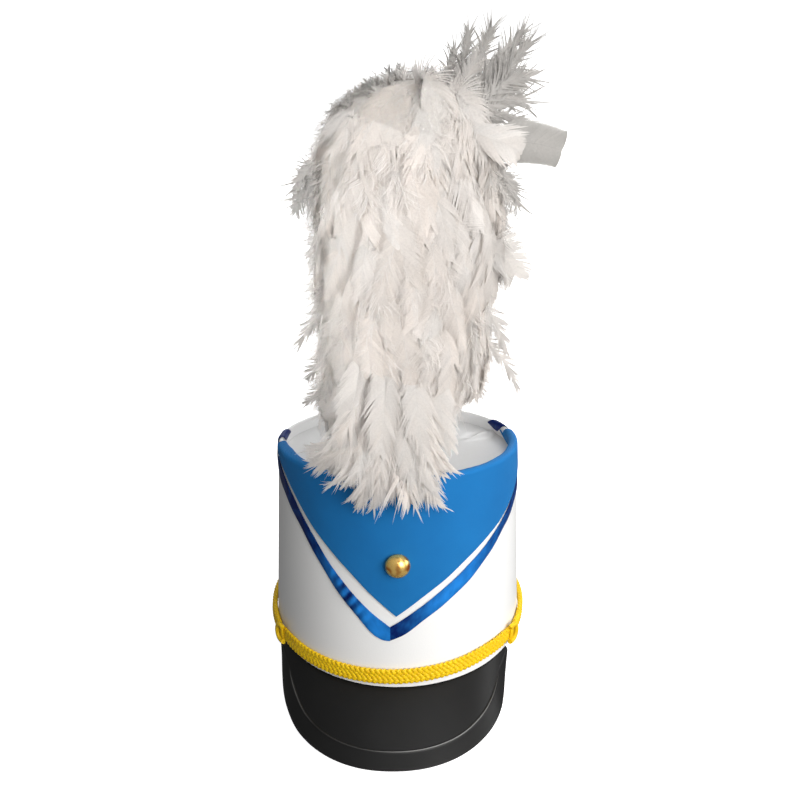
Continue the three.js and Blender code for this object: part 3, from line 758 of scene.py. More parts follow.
def makeButton():
    clearSelection()
    bpy.ops.mesh.primitive_circle_add(
        vertices=buttonMake["corners"], radius=buttonMake["foot"], fill_type="NGON")
    button = namePiece("buttonGold")
    bpy.ops.object.mode_set(mode="EDIT")
    bpy.ops.mesh.select_all(action="SELECT")
    roundHeight, roundInset = buttonMake["lipRound"]
    heights = [roundHeight, buttonMake["lip"]]
    radii = [buttonMake["radius"] - roundInset, buttonMake["radius"]]
    for step in range(1, buttonMake["steps"]):
        turn = 0.5 * math.pi * step / buttonMake["steps"]
        heights.append(buttonMake["lip"] + buttonMake["dome"] * math.sin(turn))
        radii.append(buttonMake["radius"] * math.cos(turn) ** 0.9)
    level, radius = 0.0, buttonMake["foot"]
    for nextLevel, nextRadius in zip(heights, radii):
        bpy.ops.mesh.extrude_region_move(TRANSFORM_OT_translate={"value": (0, 0, nextLevel - level)})
        grow = nextRadius / radius
        bpy.ops.transform.resize(value=(grow, grow, 1), center_override=(0, 0, nextLevel))
        level, radius = nextLevel, nextRadius
    bpy.ops.mesh.poke(offset=0.0001)
    bpy.ops.object.mode_set(mode="OBJECT")
    faceOutwards(button)
    button.data.materials.append(goldMaterial())
    faceLean = math.atan((shell["bottomHalfDepth"] - shell["topHalfDepth"]) / shell["height"])
    offset = clearance * 2 + panelMake["thickness"] + buttonMake["standOff"]
    spot = Vector(shellPoint(np.array(0.0), buttonMake["height"], offset).tolist())
    facing = Matrix.Rotation(math.pi / 2 - faceLean, 4, "X")
    button.matrix_world = Matrix.Translation(spot) @ facing
    placeOnHat(button, "button", smoothAngle=60)


makeButton()
print("button: domed gold")


# braid and keepers

braidMake = {
    "strands": 7,
    "strandWidth": 0.0032,
    "strandThickness": 0.0013,
    "sway": 0.0041,           # how far a strand goes up and down
    "weave": 0.0006,          # how far it goes in and out
    "repeat": 0.0250,
    "endSway": 0.78,          # the plait is drawn in at its ends to this share of its sway,
    "endLength": 0.009,       # over this length
    "front": (-62.6, 60.4, 520),   # from and to, in degrees, and how many places along it
    "back": (66.3, 291.5, 760),
    "cordApart": 0.0020,      # each of the two back cords from the centre line
    "plyRadius": 0.0012,
    "plyTwist": 0.00085,
    "plyRepeat": 0.0105,
}
# angle round the shell, and height of the band's centre line, which was sewn on a little askew
braidLine = [
    (-75, 0.0080), (-50, 0.0080), (-20, 0.0084), (0, 0.0092), (25, 0.0105), (45, 0.0114), (55, 0.0106),
    (62, 0.0099), (80, 0.0102), (110, 0.0100), (180, 0.0090), (262, 0.0096), (290, 0.0082)]


def lengthAlong(points):
    return np.concatenate([[0], np.cumsum(np.linalg.norm(np.diff(points, axis=0), axis=1))])


def strandTube(centres, sideways, outwards, width, thickness, sides):
    # a closed tube along the centres, oval in section, with its length and turn as UVs
    count = len(centres)
    turns = np.arange(sides) * 2 * math.pi / sides
    ring = (centres[:, None] + 0.5 * width * np.cos(turns)[None, :, None] * sideways[:, None]
            + 0.5 * thickness * np.sin(turns)[None, :, None] * outwards[:, None])
    points = ring.reshape(-1, 3)
    length = lengthAlong(centres)
    faces, uvs = [], []
    for i in range(count - 1):
        near, far = length[i], length[i + 1]
        for side in range(sides):
            a, b = i * sides + side, i * sides + (side + 1) % sides
            faces.append((a, b, b + sides, a + sides))
            turnA, turnB = side / sides, (side + 1) / sides
            uvs += [(near, turnA), (near, turnB), (far, turnB), (far, turnA)]
    faces.append(tuple(range(sides))[::-1])
    faces.append(tuple((count - 1) * sides + side for side in range(sides)))
    uvs += [(0, 0)] * sides + [(length[-1], 0)] * sides
    return points, faces, uvs


def joinTubes(name, tubes):
    points, faces, uvs, first = [], [], [], 0
    for tubePoints, tubeFaces, tubeUvs in tubes:
        points.append(tubePoints)
        faces += [tuple(corner + first for corner in face) for face in tubeFaces]
        uvs += tubeUvs
        first += len(tubePoints)
    mesh = bpy.data.meshes.new(name)
    mesh.from_pydata(np.concatenate(points).tolist(), [], faces)
    mesh.update()
    layer = mesh.uv_layers.new(name="UVMap")
    layer.data.foreach_set("uv", np.array(uvs, np.float32).reshape(-1))
    piece = linkPiece(name, mesh)
    faceOutwards(piece)
    return piece


def bandFrame(angles):                     # the length along the band, and its outward directions
    line = shellPoint(angles, easeCurve(braidLine, 1, angles), 0.0025)
    return lengthAlong(line), unit(shellPoint(angles, line[:, 2], 0.0035) - line)


def tubeAxes(centres, out):
    ahead = unit(np.gradient(centres, axis=0))
    sideways = unit(np.cross(ahead, out))
    return sideways, np.cross(sideways, ahead)


def braidMaterial():
    material, tree, shader = newMaterial("golden braid", (0.82, 0.52, 0.02), 0.42)
    shader.inputs["Specular IOR Level"].default_value = 0.3
    shader.inputs["Sheen Weight"].default_value = 0.12
    shader.inputs["Sheen Tint"].default_value = (1.0, 0.8, 0.2, 1)
    strand = tree.nodes.new("ShaderNodeUVMap").outputs["UV"]
    lay = addNode(tree, "ShaderNodeMapping", {"Vector": strand, "Scale": (1100.0, 4.0, 1.0)})
    split = addNode(tree, "ShaderNodeSeparateXYZ", {0: lay.outputs["Vector"]})
    twist = addMaths(tree, "ADD", split.outputs["X"], split.outputs["Y"])
    yarn = addMaths(tree, "SINE", addMaths(tree, "MULTIPLY", twist, 6.2832))
    fuzz = addNoise(tree, objectPlace(tree), 700.0, 4.0)
    tone = addMaths(tree, "ADD", addMaths(tree, "MULTIPLY", yarn, 0.18), fuzz, use_clamp=True)
    colourBetween(tree, shader, tone, (0.66, 0.28, 0.001), (1.0, 0.80, 0.008))
    addBump(tree, shader, yarn, 0.4, 0.0001)
    return material


goldBraid = braidMaterial()


def makeFrontBraid():
    angles = np.linspace(*braidMake["front"])
    length, out = bandFrame(angles)
    inward = np.clip(np.minimum(length, length[-1] - length) / braidMake["endLength"], 0, 1)
    taper = braidMake["endSway"] + (1 - braidMake["endSway"]) * inward
    tubes = []
    for strand in range(braidMake["strands"]):
        turn = 2 * math.pi * (length / braidMake["repeat"] + strand / braidMake["strands"])
        lift = braidMake["sway"] * np.sin(turn) * taper
        proud = braidMake["weave"] * np.sin((braidMake["strands"] - 1) * turn)
        depth = clearance + braidMake["weave"] + braidMake["strandThickness"] / 2
        centres = shellPoint(angles, easeCurve(braidLine, 1, angles) + lift, depth + proud)
        sideways, facing = tubeAxes(centres, out)
        tubes.append(strandTube(
            centres, sideways, facing, braidMake["strandWidth"], braidMake["strandThickness"], 8))
    braid = joinTubes("frontBraidPlait", tubes)
    braid.data.materials.append(goldBraid)
    placeOnHat(braid, "front_braid", smoothAngle=70)


def makeBackBraid():
    angles = np.linspace(*braidMake["back"])
    length, out = bandFrame(angles)
    thick = 2 * braidMake["plyRadius"]
    tubes = []
    for cord in (-1, 1):
        middle = easeCurve(braidLine, 1, angles) + cord * braidMake["cordApart"]
        for ply in range(3):
            turn = cord * 2 * math.pi * length / braidMake["plyRepeat"] + ply * 2 * math.pi / 3
            depth = clearance + braidMake["plyRadius"] + braidMake["plyTwist"] * (1 + np.cos(turn))
            centres = shellPoint(angles, middle + braidMake["plyTwist"] * np.sin(turn), depth)
            sideways, facing = tubeAxes(centres, out)
            tubes.append(strandTube(centres, sideways, facing, thick, thick, 7))
    braid = joinTubes("backBraidCords", tubes)
    braid.data.materials.append(goldBraid)
    placeOnHat(braid, "back_braid", smoothAngle=70)


keeperMake = {
    "left": -63.2,            # degrees round the shell
    "right": 61.0,
    "loopHigh": 0.0063,       # half the loop's height, to its cord's centre
    "loopWide": 0.0056,
    "loopOut": 0.0030,        # and how far that stands from the shell
    "loopCord": 0.0035,
    "tilt": 0.0008,           # its back edge stands out farther
    "open": 0.66,             # how far round the loop goes, before the band comes in
    "wraps": 2,
    "wrapSize": (0.0042, 0.0009),   # half its height, and half its depth
    "wrapOut": 0.0022,
    "wrapCord": 0.0026,
}


def makeKeeper(name, node, side):
    # a loop lies round the end of the band, open where the band comes in, with wraps behind it
    angle = keeperMake[side]
    backward = -1 if side == "left" else 1
    middle = easeCurve(braidLine, 1, np.array(angle))
    base = shellPoint(np.array([angle - 0.5, angle, angle + 0.5]), middle, clearance)
    around = unit(base[2] - base[0]) * backward
    out = unit(np.cross(around, [0, 0, backward]))
    up = np.array([0, 0, 1.0])
    turns = np.linspace(-math.pi, math.pi, 49) * keeperMake["open"]
    square = (np.abs(np.cos(turns)) ** 4 + np.abs(np.sin(turns)) ** 4) ** -0.25
    stand = keeperMake["loopOut"] + keeperMake["tilt"] * (1 + np.cos(turns))
    loop = (base[1] + out * stand[:, None]
            + around * (keeperMake["loopWide"] * square**0.3 * np.cos(turns))[:, None]
            + up * (keeperMake["loopHigh"] * square**0.3 * np.sin(turns))[:, None])
    sideways, facing = tubeAxes(loop, np.tile(out, (len(turns), 1)))
    thick = keeperMake["loopCord"]
    tubes = [strandTube(loop, sideways, facing, thick, thick, 10)]
    turns = np.linspace(0, 2 * math.pi, 33)
    high, deep = keeperMake["wrapSize"]
    thick = keeperMake["wrapCord"]
    for wrap in range(keeperMake["wraps"]):
        slide = 0.0008 + (wrap - (keeperMake["wraps"] - 1) / 2) * thick * 0.8
        ring = (base[1] + around * (slide + 0.0006 * np.sin(turns))[:, None]
                + up * (high * np.sin(turns))[:, None]
                + out * (keeperMake["wrapOut"] + deep * np.cos(turns))[:, None])
        outer = up * np.sin(turns)[:, None] + out * np.cos(turns)[:, None]
        sideways, facing = tubeAxes(ring, outer)
        tubes.append(strandTube(ring, sideways, facing, thick, thick * 0.8, 8))
    keeper = joinTubes(name, tubes)
    keeper.data.materials.append(goldBraid)
    placeOnHat(keeper, node, smoothAngle=70)


makeFrontBraid()
makeBackBraid()
makeKeeper("keeperLeftLoop", "keeper_left", "left")
makeKeeper("keeperRightLoop", "keeper_right", "right")
print("braid: plait, back cords and keepers")


# visor

# angle, reach outwards from the shell, and drop below its lower edge
visorEdge = [
    (-67, 0.0006, 0.0036), (-62, 0.0030, 0.0105), (-56, 0.0074, 0.0170), (-50, 0.0128, 0.0216),
    (-40, 0.0232, 0.0250), (-30, 0.0344, 0.0279), (-20, 0.0424, 0.0302), (-10, 0.0462, 0.0316),
    (0, 0.0466, 0.0320), (10, 0.0453, 0.0314), (20, 0.0407, 0.0301), (30, 0.0322, 0.0278),
    (40, 0.0210, 0.0250), (48, 0.0112, 0.0218), (53, 0.0060, 0.0172), (57.5, 0.0024, 0.0108),
    (61, 0.0004, 0.0036)]
visorMake = {
    "turn": -1.2,             # degrees, for it sits a little askew
    "thickness": 0.0022,
    "tabHeight": 0.012,       # of the tab behind the shell that holds the visor
    "tabRows": 0.12,          # the tab's share of the rows
    "crown": 0.1,             # rise in its middle, as a share of its length
    "borderWidth": 0.0125,
    "borderStep": 0.0008,
    "borderRamp": 0.0006,
    "borderRidge": 0.0005,    # the step's rounded upper edge stands a little proud
    "ridgeWidth": 0.0005,
    "borderRows": (0.56, 0.76),   # from and to, of the rows that lie on the step
    "borderFade": (38, 14),   # degrees where the step starts to fade, and over how many
    "columns": 134,
    "rows": 60,
    "edgeRound": 0.0007,
}
# a painted highlight along the border's upper edge, how bright by angle
paintedRidgeHighlight = [
    (-60, 0), (-52, 0), (-45, 0.45), (-36, 0.35), (-26, 0.05), (-8, 0.2), (4, 0.8), (20, 1.0),
    (34, 0.7), (44, 0.2), (50, 0), (60, 0)]


def visorMaterial():
    material, tree, shader = newMaterial("black moulded plastic", (0.008, 0.008, 0.008), 0.46)
    shader.inputs["Specular IOR Level"].default_value = 0.31
    place = objectPlace(tree)
    tone = addNoise(tree, place, 40.0, 4.0)
    black = blendColours(tree, tone, (0.0012, 0.0012, 0.0012), (0.005, 0.005, 0.005))
    # a light grey painted highlight along the border's ridge
    highlightAmount = addNode(tree, "ShaderNodeAttribute", attribute_name="paintedRidgeHighlight")
    highlightBlend = addNode(tree, "ShaderNodeMix", {0: highlightAmount.outputs["Fac"], 6: black}, data_type="RGBA")
    highlightBlend.inputs[7].default_value = (0.30, 0.30, 0.295, 1)
    tree.links.new(highlightBlend.outputs[2], shader.inputs["Base Color"])
    rough = addRange(tree, addNoise(tree, place, 22.0, 5.0), 0.0, 1.0, 0.40, 0.54)
    tree.links.new(rough, shader.inputs["Roughness"])
    swell = addBump(tree, shader, addNoise(tree, place, 26.0, 1.0), 0.10, 0.003)
    addBump(tree, shader, addNoise(tree, place, 1400.0, 2.0), 0.10, 0.00015, swell)
    return material


def makeVisor():
    first, last = visorEdge[0][0], visorEdge[-1][0]
    early, late = visorMake["borderRows"]
    tabRows = visorMake["tabRows"]
    rootOut, rootUp = 0.0002, -2 * clearance

    def place(u, v):
        angle = first + (last - first) * u
        reach = easeCurve(visorEdge, 1, angle)
        drop = easeCurve(visorEdge, 2, angle)
        slope = np.arctan2(drop + rootUp, reach - rootOut)
        normalOut, normalUp = np.sin(slope), np.cos(slope)
        tipOut = reach + 0.5 * visorMake["thickness"] * normalOut
        tipUp = -drop + visorMake["thickness"] * normalUp
        length = np.hypot(tipOut - rootOut, tipUp - rootUp)
        border = np.maximum(0.4, 1 - visorMake["borderWidth"] / length)
        ramp = np.minimum(0.15, visorMake["borderRamp"] / length)
        # share of the way down the visor: its plain part, the step, and the border
        plain = np.clip((v - tabRows) / (early - tabRows), 0, 1) * (border - 2 * ramp)
        onStep = border + 2 * ramp * (2 * (v - early) / (late - early) - 1)
        beyond = border + 2 * ramp + (1 - border - 2 * ramp) * (v - late) / (1 - late)
        part = np.where(v < early, plain, np.where(v < late, onStep, beyond))
        rise = np.clip((part - border + ramp) / (2 * ramp), 0, 1)
        fromRidge = (part - border - ramp) * length
        ridge = visorMake["borderRidge"] * np.exp(-(fromRidge / visorMake["ridgeWidth"]) ** 2)
        fadeFrom, fadeOver = visorMake["borderFade"]
        fade = 1 - 0.8 * np.clip((np.abs(angle) - fadeFrom) / fadeOver, 0, 1)
        step = (visorMake["borderStep"] * rise * rise * (3 - 2 * rise) + ridge) * fade
        crown = visorMake["crown"] * length * part * (1 - part)
        out = rootOut + (tipOut - rootOut) * part + (crown + step) * normalOut
        up = rootUp + (tipUp - rootUp) * part + (crown + step) * normalUp
        # the tab goes back through the gap below the shell, and then up behind its wall
        tab = np.clip((tabRows - v) / tabRows, 0, 1)
        tabOut = -shell["wall"] - clearance
        backOut = np.where(tab > 0.25, tabOut, rootOut + (tabOut - rootOut) * tab / 0.25)
        behind = -clearance + (visorMake["tabHeight"] + clearance) * (tab - 0.25) / 0.75
        backUp = np.where(tab > 0.25, behind, rootUp + (rootUp * 0.5 - rootUp) * tab / 0.25)
        out = np.where(v < tabRows, backOut, out)
        up = np.where(v < tabRows, backUp, up)
        point = shellPoint(angle + visorMake["turn"], np.maximum(0, up), out)
        point[:, 2] = up
        return point

    visor = shapeGrid("visorPlastic", visorMake["columns"], visorMake["rows"], place)
    u, v = spreadPlaces(visorMake["columns"], visorMake["rows"])
    # the painted highlight lies along the ridge
    onRidge = np.exp(-((v - early - 0.75 * (late - early)) / 0.028) ** 2)
    paintPoints(visor, "paintedRidgeHighlight", onRidge * readTable(paintedRidgeHighlight, first + (last - first) * u, 1))
    takeUp(visor)
    bpy.ops.object.mode_set(mode="EDIT")
    bpy.ops.mesh.select_all(action="SELECT")
    bpy.ops.mesh.flip_normals()
    bpy.ops.object.mode_set(mode="OBJECT")
    modify(visor, "SOLIDIFY", thickness=visorMake["thickness"], offset=-1, use_even_offset=False)
    modify(
        visor, "BEVEL", width=visorMake["edgeRound"], segments=3, limit_method="ANGLE",
        angle_limit=math.radians(55))
    visor.data.materials.append(visorMaterial())
    placeOnHat(visor, "visor", smoothAngle=45)


makeVisor()
print("visor: moulded peak with a raised border")


# plume

# height, place of the middle, half width and half depth of the feathered body, from its top down
plumeBody = [
    (0.3910, 0.016, -0.037, 0.001, 0.001), (0.3900, 0.016, -0.038, 0.012, 0.010),
    (0.3860, 0.012, -0.042, 0.025, 0.022), (0.379, 0.010, -0.046, 0.035, 0.030),
    (0.368, 0.008, -0.050, 0.045, 0.038), (0.355, 0.006, -0.052, 0.053, 0.045),
    (0.338, 0.005, -0.052, 0.055, 0.047), (0.315, 0.007, -0.052, 0.057, 0.048),
    (0.290, 0.008, -0.052, 0.057, 0.047), (0.268, 0.006, -0.052, 0.055, 0.045),
    (0.250, 0.003, -0.052, 0.051, 0.043), (0.225, 0.004, -0.052, 0.053, 0.043),
    (0.204, 0.005, -0.052, 0.050, 0.041), (0.190, -0.004, -0.051, 0.044, 0.038),
    (0.172, -0.009, -0.050, 0.036, 0.031), (0.153, -0.008, -0.048, 0.024, 0.022),
    (0.142, -0.007, -0.050, 0.010, 0.009)]
plumeMake = {
    "seed": 21,
    "downDepth": 0.007,       # from the outline in to the dense down
    "frontTurn": -0.25,       # the front is where the sine of the turn is below this
    "fanTop": 0.188,          # the fan hangs over the front below this height
    "quillRadius": 0.00032,
    "translucency": 0.45,
    "softness": 0.8,          # how far a feather takes the body's shading as its own
}
# a vane's barbs lie edge to edge and part into locks near its outline; down has thin free barbs
# bare is the shaft's share below the first barb, angles are the barbs' own from the shaft at its foot
# and tip, clump and late say how much and how near their ends they draw together in groups
vane = {
    "barbs": 42, "steps": 4, "bare": 0.05, "angles": (60, 20), "bendIn": 0.34, "cup": -0.14,
    "spread": 0.008, "clump": 0.2, "late": 3.5, "group": 5, "wide": 0.0019, "tipWide": 0.12, "taper": 3.5,
    "curl": 0.0, "barb": 0.56, "swell": 0.25, "tipKeep": 0.5, "jitter": 0.06, "square": False}
down = {
    "barbs": 30, "steps": 3, "bare": 0.02, "angles": (66, 16), "bendIn": 0.2, "cup": 0.05,
    "spread": 0.30, "clump": 0.6, "late": 1.0, "group": 3, "wide": 0.00030, "tipWide": 0.4, "taper": 2.0,
    "curl": 0.12, "barb": 0.62, "swell": 0.12, "tipKeep": 0.6, "jitter": 0.25, "square": False}
featherColours = {
    "light": (0.90, 0.88, 0.86),
    "warm": (0.90, 0.845, 0.80),
    # the grey that low tones blend towards, as painted shade
    "shade": (0.32, 0.315, 0.30),
    "core": (0.84, 0.815, 0.785),
}


bodyRows = np.array(plumeBody)
bodyTravel = np.concatenate([[0], np.cumsum(np.hypot(np.diff(bodyRows[:, 0]), np.diff(bodyRows[:, 3])))])


def bodyAt(travel, column):
    return np.interp(travel, bodyTravel, bodyRows[:, column])


def travelAt(height):
    return np.interp(-height, -bodyRows[:, 0], bodyTravel)


def bodySlope(travel, reach):              # how the body widens and falls there, and the size of both
    near, far = np.maximum(travel - reach, 0), travel + reach
    growing = bodyAt(far, 3) - bodyAt(near, 3)
    falling = bodyAt(near, 0) - bodyAt(far, 0)
    return growing, falling, np.maximum(np.hypot(growing, falling), 1e-6)


def bodyPoint(travel, turn, lift):
    # travel is measured down the outside from the top, and turn is 0 to the right and pi/2 to the back
    growing, falling, size = bodySlope(travel, 0.006)
    wide = np.maximum(bodyAt(travel, 3) + lift * falling / size, 0)
    deep = np.maximum(bodyAt(travel, 4) + lift * falling / size, 0)
    x = bodyAt(travel, 1) + wide * np.cos(turn)
    y = bodyAt(travel, 2) + deep * np.sin(turn)
    z = bodyAt(travel, 0) + lift * growing / size
    return np.stack(np.broadcast_arrays(x, y, z), axis=-1)


def outFrom(travel, turn):
    return unit(bodyPoint(travel, turn, 0.004) - bodyPoint(travel, turn, 0))


def bodyOutward(points):                   # the body's outward direction beside each point
    travel = travelAt(np.maximum(points[:, 2], 0.225))
    growing, falling, size = bodySlope(travel, 0.01)
    beside = np.stack([(points[:, 0] - bodyAt(travel, 1)) / bodyAt(travel, 3),
                       (points[:, 1] - bodyAt(travel, 2)) / bodyAt(travel, 4)], axis=-1)
    level = unit(beside) * (falling / size)[:, None]
    return unit(np.concatenate([level, (growing / size)[:, None]], axis=-1))


def layPath(travel, turn, length, swing, rootLift, tipLift, steps=12):
    # along the body's outside, from its root's depth out to its tip's
    part = np.linspace(0, 1, steps + 1)
    lift = rootLift + (tipLift - rootLift) * part**0.8
    return bodyPoint(travel + length * part, turn + swing * part, lift)


def bentPath(root, bend, tip, steps=14):
    root, bend, tip = (np.array(point, float) for point in (root, bend, tip))
    control = 2 * bend - (root + tip) / 2
    t = np.linspace(0, 1, steps + 1)[:, None]
    return (1 - t) ** 2 * root + 2 * t * (1 - t) * control + t**2 * tip


def paintFeathers(piece, colours):
    layer = piece.data.color_attributes.new("featherColour", "FLOAT_COLOR", "POINT")
    rows = np.concatenate([colours, np.ones((len(colours), 1))], axis=1)
    layer.data.foreach_set("color", rows.astype(np.float32).reshape(-1))


class FeatherBunch:                        # gathers feathers as arrays, and makes them one mesh at the end
    def __init__(self, seed):
        self.random = np.random.default_rng(seed)
        self.points, self.normals, self.quads, self.colours, self.total = [], [], [], [], 0

    def add(self, points, normals, quads, colours):
        self.points.append(points.reshape(-1, 3))
        self.normals.append(normals.reshape(-1, 3))
        self.quads.append(quads.reshape(-1, 4) + self.total)
        self.colours.append(colours.reshape(-1, 3))
        self.total += self.points[-1].shape[0]

    def drawLocks(self, kind):
        # barbs join in groups on each side of the shaft, and follow the one in the group's middle
        barbs = kind["barbs"]
        groups = np.cumsum(self.random.random((2, barbs)) < 1 / kind["group"], axis=1)
        groupCount = groups.max() + 1
        chosen = np.zeros((2, groupCount), int)
        for side in range(2):
            for group in range(groupCount):
                members = np.flatnonzero(groups[side] == group)
                chosen[side, group] = members[len(members) // 2] if len(members) else 0
        leader = np.take_along_axis(chosen, groups, axis=1)
        groupDraw = self.random.normal(size=(3, 2, groupCount))
        groupDraw = np.stack([np.take_along_axis(draw, groups, axis=1) for draw in groupDraw])
        ownDraw = self.random.normal(size=(4, 2, barbs))
        return leader, groupDraw, ownDraw

    def addQuill(self, path, ahead, facing, tone):
        turns = np.arange(3) * 2 * math.pi / 3
        thin = plumeMake["quillRadius"] * np.linspace(1, 0.25, len(path))[:, None, None]
        edge = np.cross(ahead, facing)
        outwards = (np.cos(turns)[None, :, None] * facing[:, None]
                    + np.sin(turns)[None, :, None] * edge[:, None])
        ring = path[:, None] + thin * outwards
        index = np.arange(len(path) * 3).reshape(len(path), 3)
        after = np.roll(index, -1, axis=1)
        quads = np.stack([index[:-1], after[:-1], after[1:], index[1:]], axis=-1)
        quill = np.array(featherColours["light"]) * min(1, tone + 0.1)
        self.add(ring, outwards, quads, np.broadcast_to(quill, ring.shape))

    def grow(self, path, face, width, kind, tone=0.85, warm=0.3, paintedTipShade=0.0, **changes):
        kind = {**kind, **changes}
        barbs, steps = kind["barbs"], kind["steps"]
        ahead = unit(np.gradient(path, axis=0))
        facing = unit(face - np.sum(face * ahead, axis=1, keepdims=True) * ahead)
        along = np.linspace(0, 1, len(path))
        part = (np.arange(barbs) + 0.5) / barbs
        seat = kind["bare"] + (1 - kind["bare"]) * part

        def atSeat(values):
            return np.stack([np.interp(seat, along, values[:, axis]) for axis in range(3)], axis=-1)

        foot, forward, front = atSeat(path), atSeat(ahead), atSeat(facing)
        sideways = unit(np.cross(forward, front))
        sides = np.array([-1.0, 1.0])[:, None]
        leader, groupDraw, ownDraw = self.drawLocks(kind)

        # how far each barb reaches, and how it turns from the shaft
        rising = np.clip(part / kind["swell"], 0, 1) ** 0.7
        falling = 1 - (1 - kind["tipKeep"]) * part**2.5
        if kind["square"]:
            falling = np.ones(barbs)
        reach = kind["barb"] * width * rising * falling
        reach = reach * (1 + kind["jitter"] * ownDraw[0] + 0.5 * kind["jitter"] * groupDraw[0])
        reach = np.maximum(reach, 0.08 * width)
        fromShaft = np.radians(kind["angles"][0] + (kind["angles"][1] - kind["angles"][0]) * part**1.2)
        sway = 0.25 * kind["clump"] * groupDraw[1] + 0.3 * kind["jitter"] * ownDraw[1]
        fromShaft = fromShaft * (1 + sway)

        # each barb's centre line, out from the shaft, on along it and up from the vane
        step = np.arange(steps + 1) / steps
        middle = (np.arange(steps) + 0.5) / steps
        turning = fromShaft[..., None] * (1 - kind["bendIn"] * middle)
        start = np.zeros((2, barbs, 1))
        outway = np.concatenate([start, np.cumsum(np.sin(turning), axis=-1)], axis=-1) / steps
        onway = np.concatenate([start, np.cumsum(np.cos(turning), axis=-1)], axis=-1) / steps
        phase = ownDraw[2][..., None]
        splay = kind["spread"] * (0.7 * groupDraw[2][..., None] + 0.4 * ownDraw[3][..., None])
        lift = (kind["cup"] * step**2 + splay * step**1.5
                + kind["curl"] * np.sin(5 * step + 3 * phase) * step)
        swerve = kind["curl"] * np.cos(5 * step + 2 * phase) * step
        outward = (sides * reach)[..., None, None] * (outway + swerve)[..., None] * sideways[None, :, None]
        onward = reach[..., None, None] * onway[..., None] * forward[None, :, None]
        raised = reach[..., None, None] * lift[..., None] * front[None, :, None]
        centre = foot[None, :, None] + outward + onward + raised
        lead = np.take_along_axis(centre, leader[..., None, None], axis=1)
        centre = centre + (lead - centre) * (kind["clump"] * step ** kind["late"])[None, None, :, None]
        if kind["square"]:                 # the vane ends as if cut across
            past = np.clip(np.sum((centre - path[-1]) * ahead[-1], axis=-1, keepdims=True), 0, None)
            centre = centre - 0.92 * past * ahead[-1]

        # a thin tapered strip along each centre line
        direction = unit(np.gradient(centre, axis=2))
        across = unit(np.cross(direction, front[None, :, None]))
        broad = kind["wide"] * (1 - (1 - kind["tipWide"]) * step ** kind["taper"])
        half = 0.5 * broad[:, None] * across
        points = np.stack([centre - half, centre + half], axis=3)
        index = np.arange(2 * barbs * (steps + 1) * 2).reshape(2 * barbs, steps + 1, 2)
        quads = np.stack([index[:, :-1, 1], index[:, 1:, 1], index[:, 1:, 0], index[:, :-1, 0]], axis=-1)
        up = np.repeat(unit(np.cross(across, direction))[:, :, :, None], 2, axis=3)
        # painted shade: a low tone, and the painted tip shade towards each barb's tip, blend the colour
        # towards the shade grey
        bright = tone + 0.03 * groupDraw[0][..., None] + 0.02 * ownDraw[0][..., None] + paintedTipShade * step**1.5
        warmth = np.clip(warm + 0.1 * groupDraw[1], 0, 1)[..., None]
        light, warmColour, shade = (np.array(featherColours[key]) for key in ("light", "warm", "shade"))
        pale = light + (warmColour - light) * warmth[..., None]
        # the clip lets a tone above 1 paint a feather lighter than its light colour, as painted light
        colours = shade + (pale - shade) * np.clip(bright, 0, 1.12)[..., None]
        self.add(points, up, quads, np.repeat(colours[:, :, :, None], 2, axis=3))
        self.addQuill(path, ahead, facing, tone)

    def finish(self, name):
        lists = (self.points, self.normals, self.quads, self.colours)
        points, normals, quads, colours = (np.concatenate(rows) for rows in lists)
        mesh = bpy.data.meshes.new(name)
        mesh.vertices.add(len(points))
        mesh.vertices.foreach_set("co", points.astype(np.float32).reshape(-1))
        mesh.loops.add(quads.size)
        mesh.loops.foreach_set("vertex_index", quads.astype(np.int32).reshape(-1))
        mesh.polygons.add(len(quads))
        mesh.polygons.foreach_set("loop_start", np.arange(0, quads.size, 4, dtype=np.int32))
        mesh.update(calc_edges=True)
        piece = linkPiece(name, mesh)
        paintFeathers(piece, colours)
        piece.data.materials.append(plumeWhite)
        print(name, 2 * len(quads), "triangles")
        placeOnHat(piece, "plume", smoothAngle=180)
        soft = plumeMake["softness"]
        lit = unit(bodyOutward(points) + [0, -0.35, 0.15])      # a little forward and up
        normals = unit((1 - soft) * normals + soft * lit) @ np.array(hatPlace.to_3x3()).T
        piece.data.normals_split_custom_set_from_vertices(normals.tolist())


def featherMaterial():
    material, tree, shader = newMaterial("white feather", (0.85, 0.82, 0.78), 0.75)
    shader.inputs["Specular IOR Level"].default_value = 0.2
    shader.inputs["Sheen Weight"].default_value = 0.2
    shader.inputs["Sheen Roughness"].default_value = 0.5
    colour = addNode(tree, "ShaderNodeAttribute", attribute_name="featherColour")
    place = objectPlace(tree)
    both = addMaths(tree, "ADD", addNoise(tree, place, 28.0, 4.0), addNoise(tree, place, 900.0, 2.0))
    level = addRange(tree, both, 0.6, 1.4, 0.9, 1.05)
    tone = addNode(
        tree, "ShaderNodeVectorMath", {0: colour.outputs["Color"], 3: level}, operation="SCALE")
    tree.links.new(tone.outputs[0], shader.inputs["Base Color"])
    through = addNode(tree, "ShaderNodeBsdfTranslucent", {"Color": tone.outputs[0]})
    surface = addNode(
        tree, "ShaderNodeMixShader",
        {0: plumeMake["translucency"], 1: shader.outputs[0], 2: through.outputs[0]})
    tree.links.new(surface.outputs[0], tree.nodes["Material Output"].inputs["Surface"])
    return material


plumeWhite = featherMaterial()


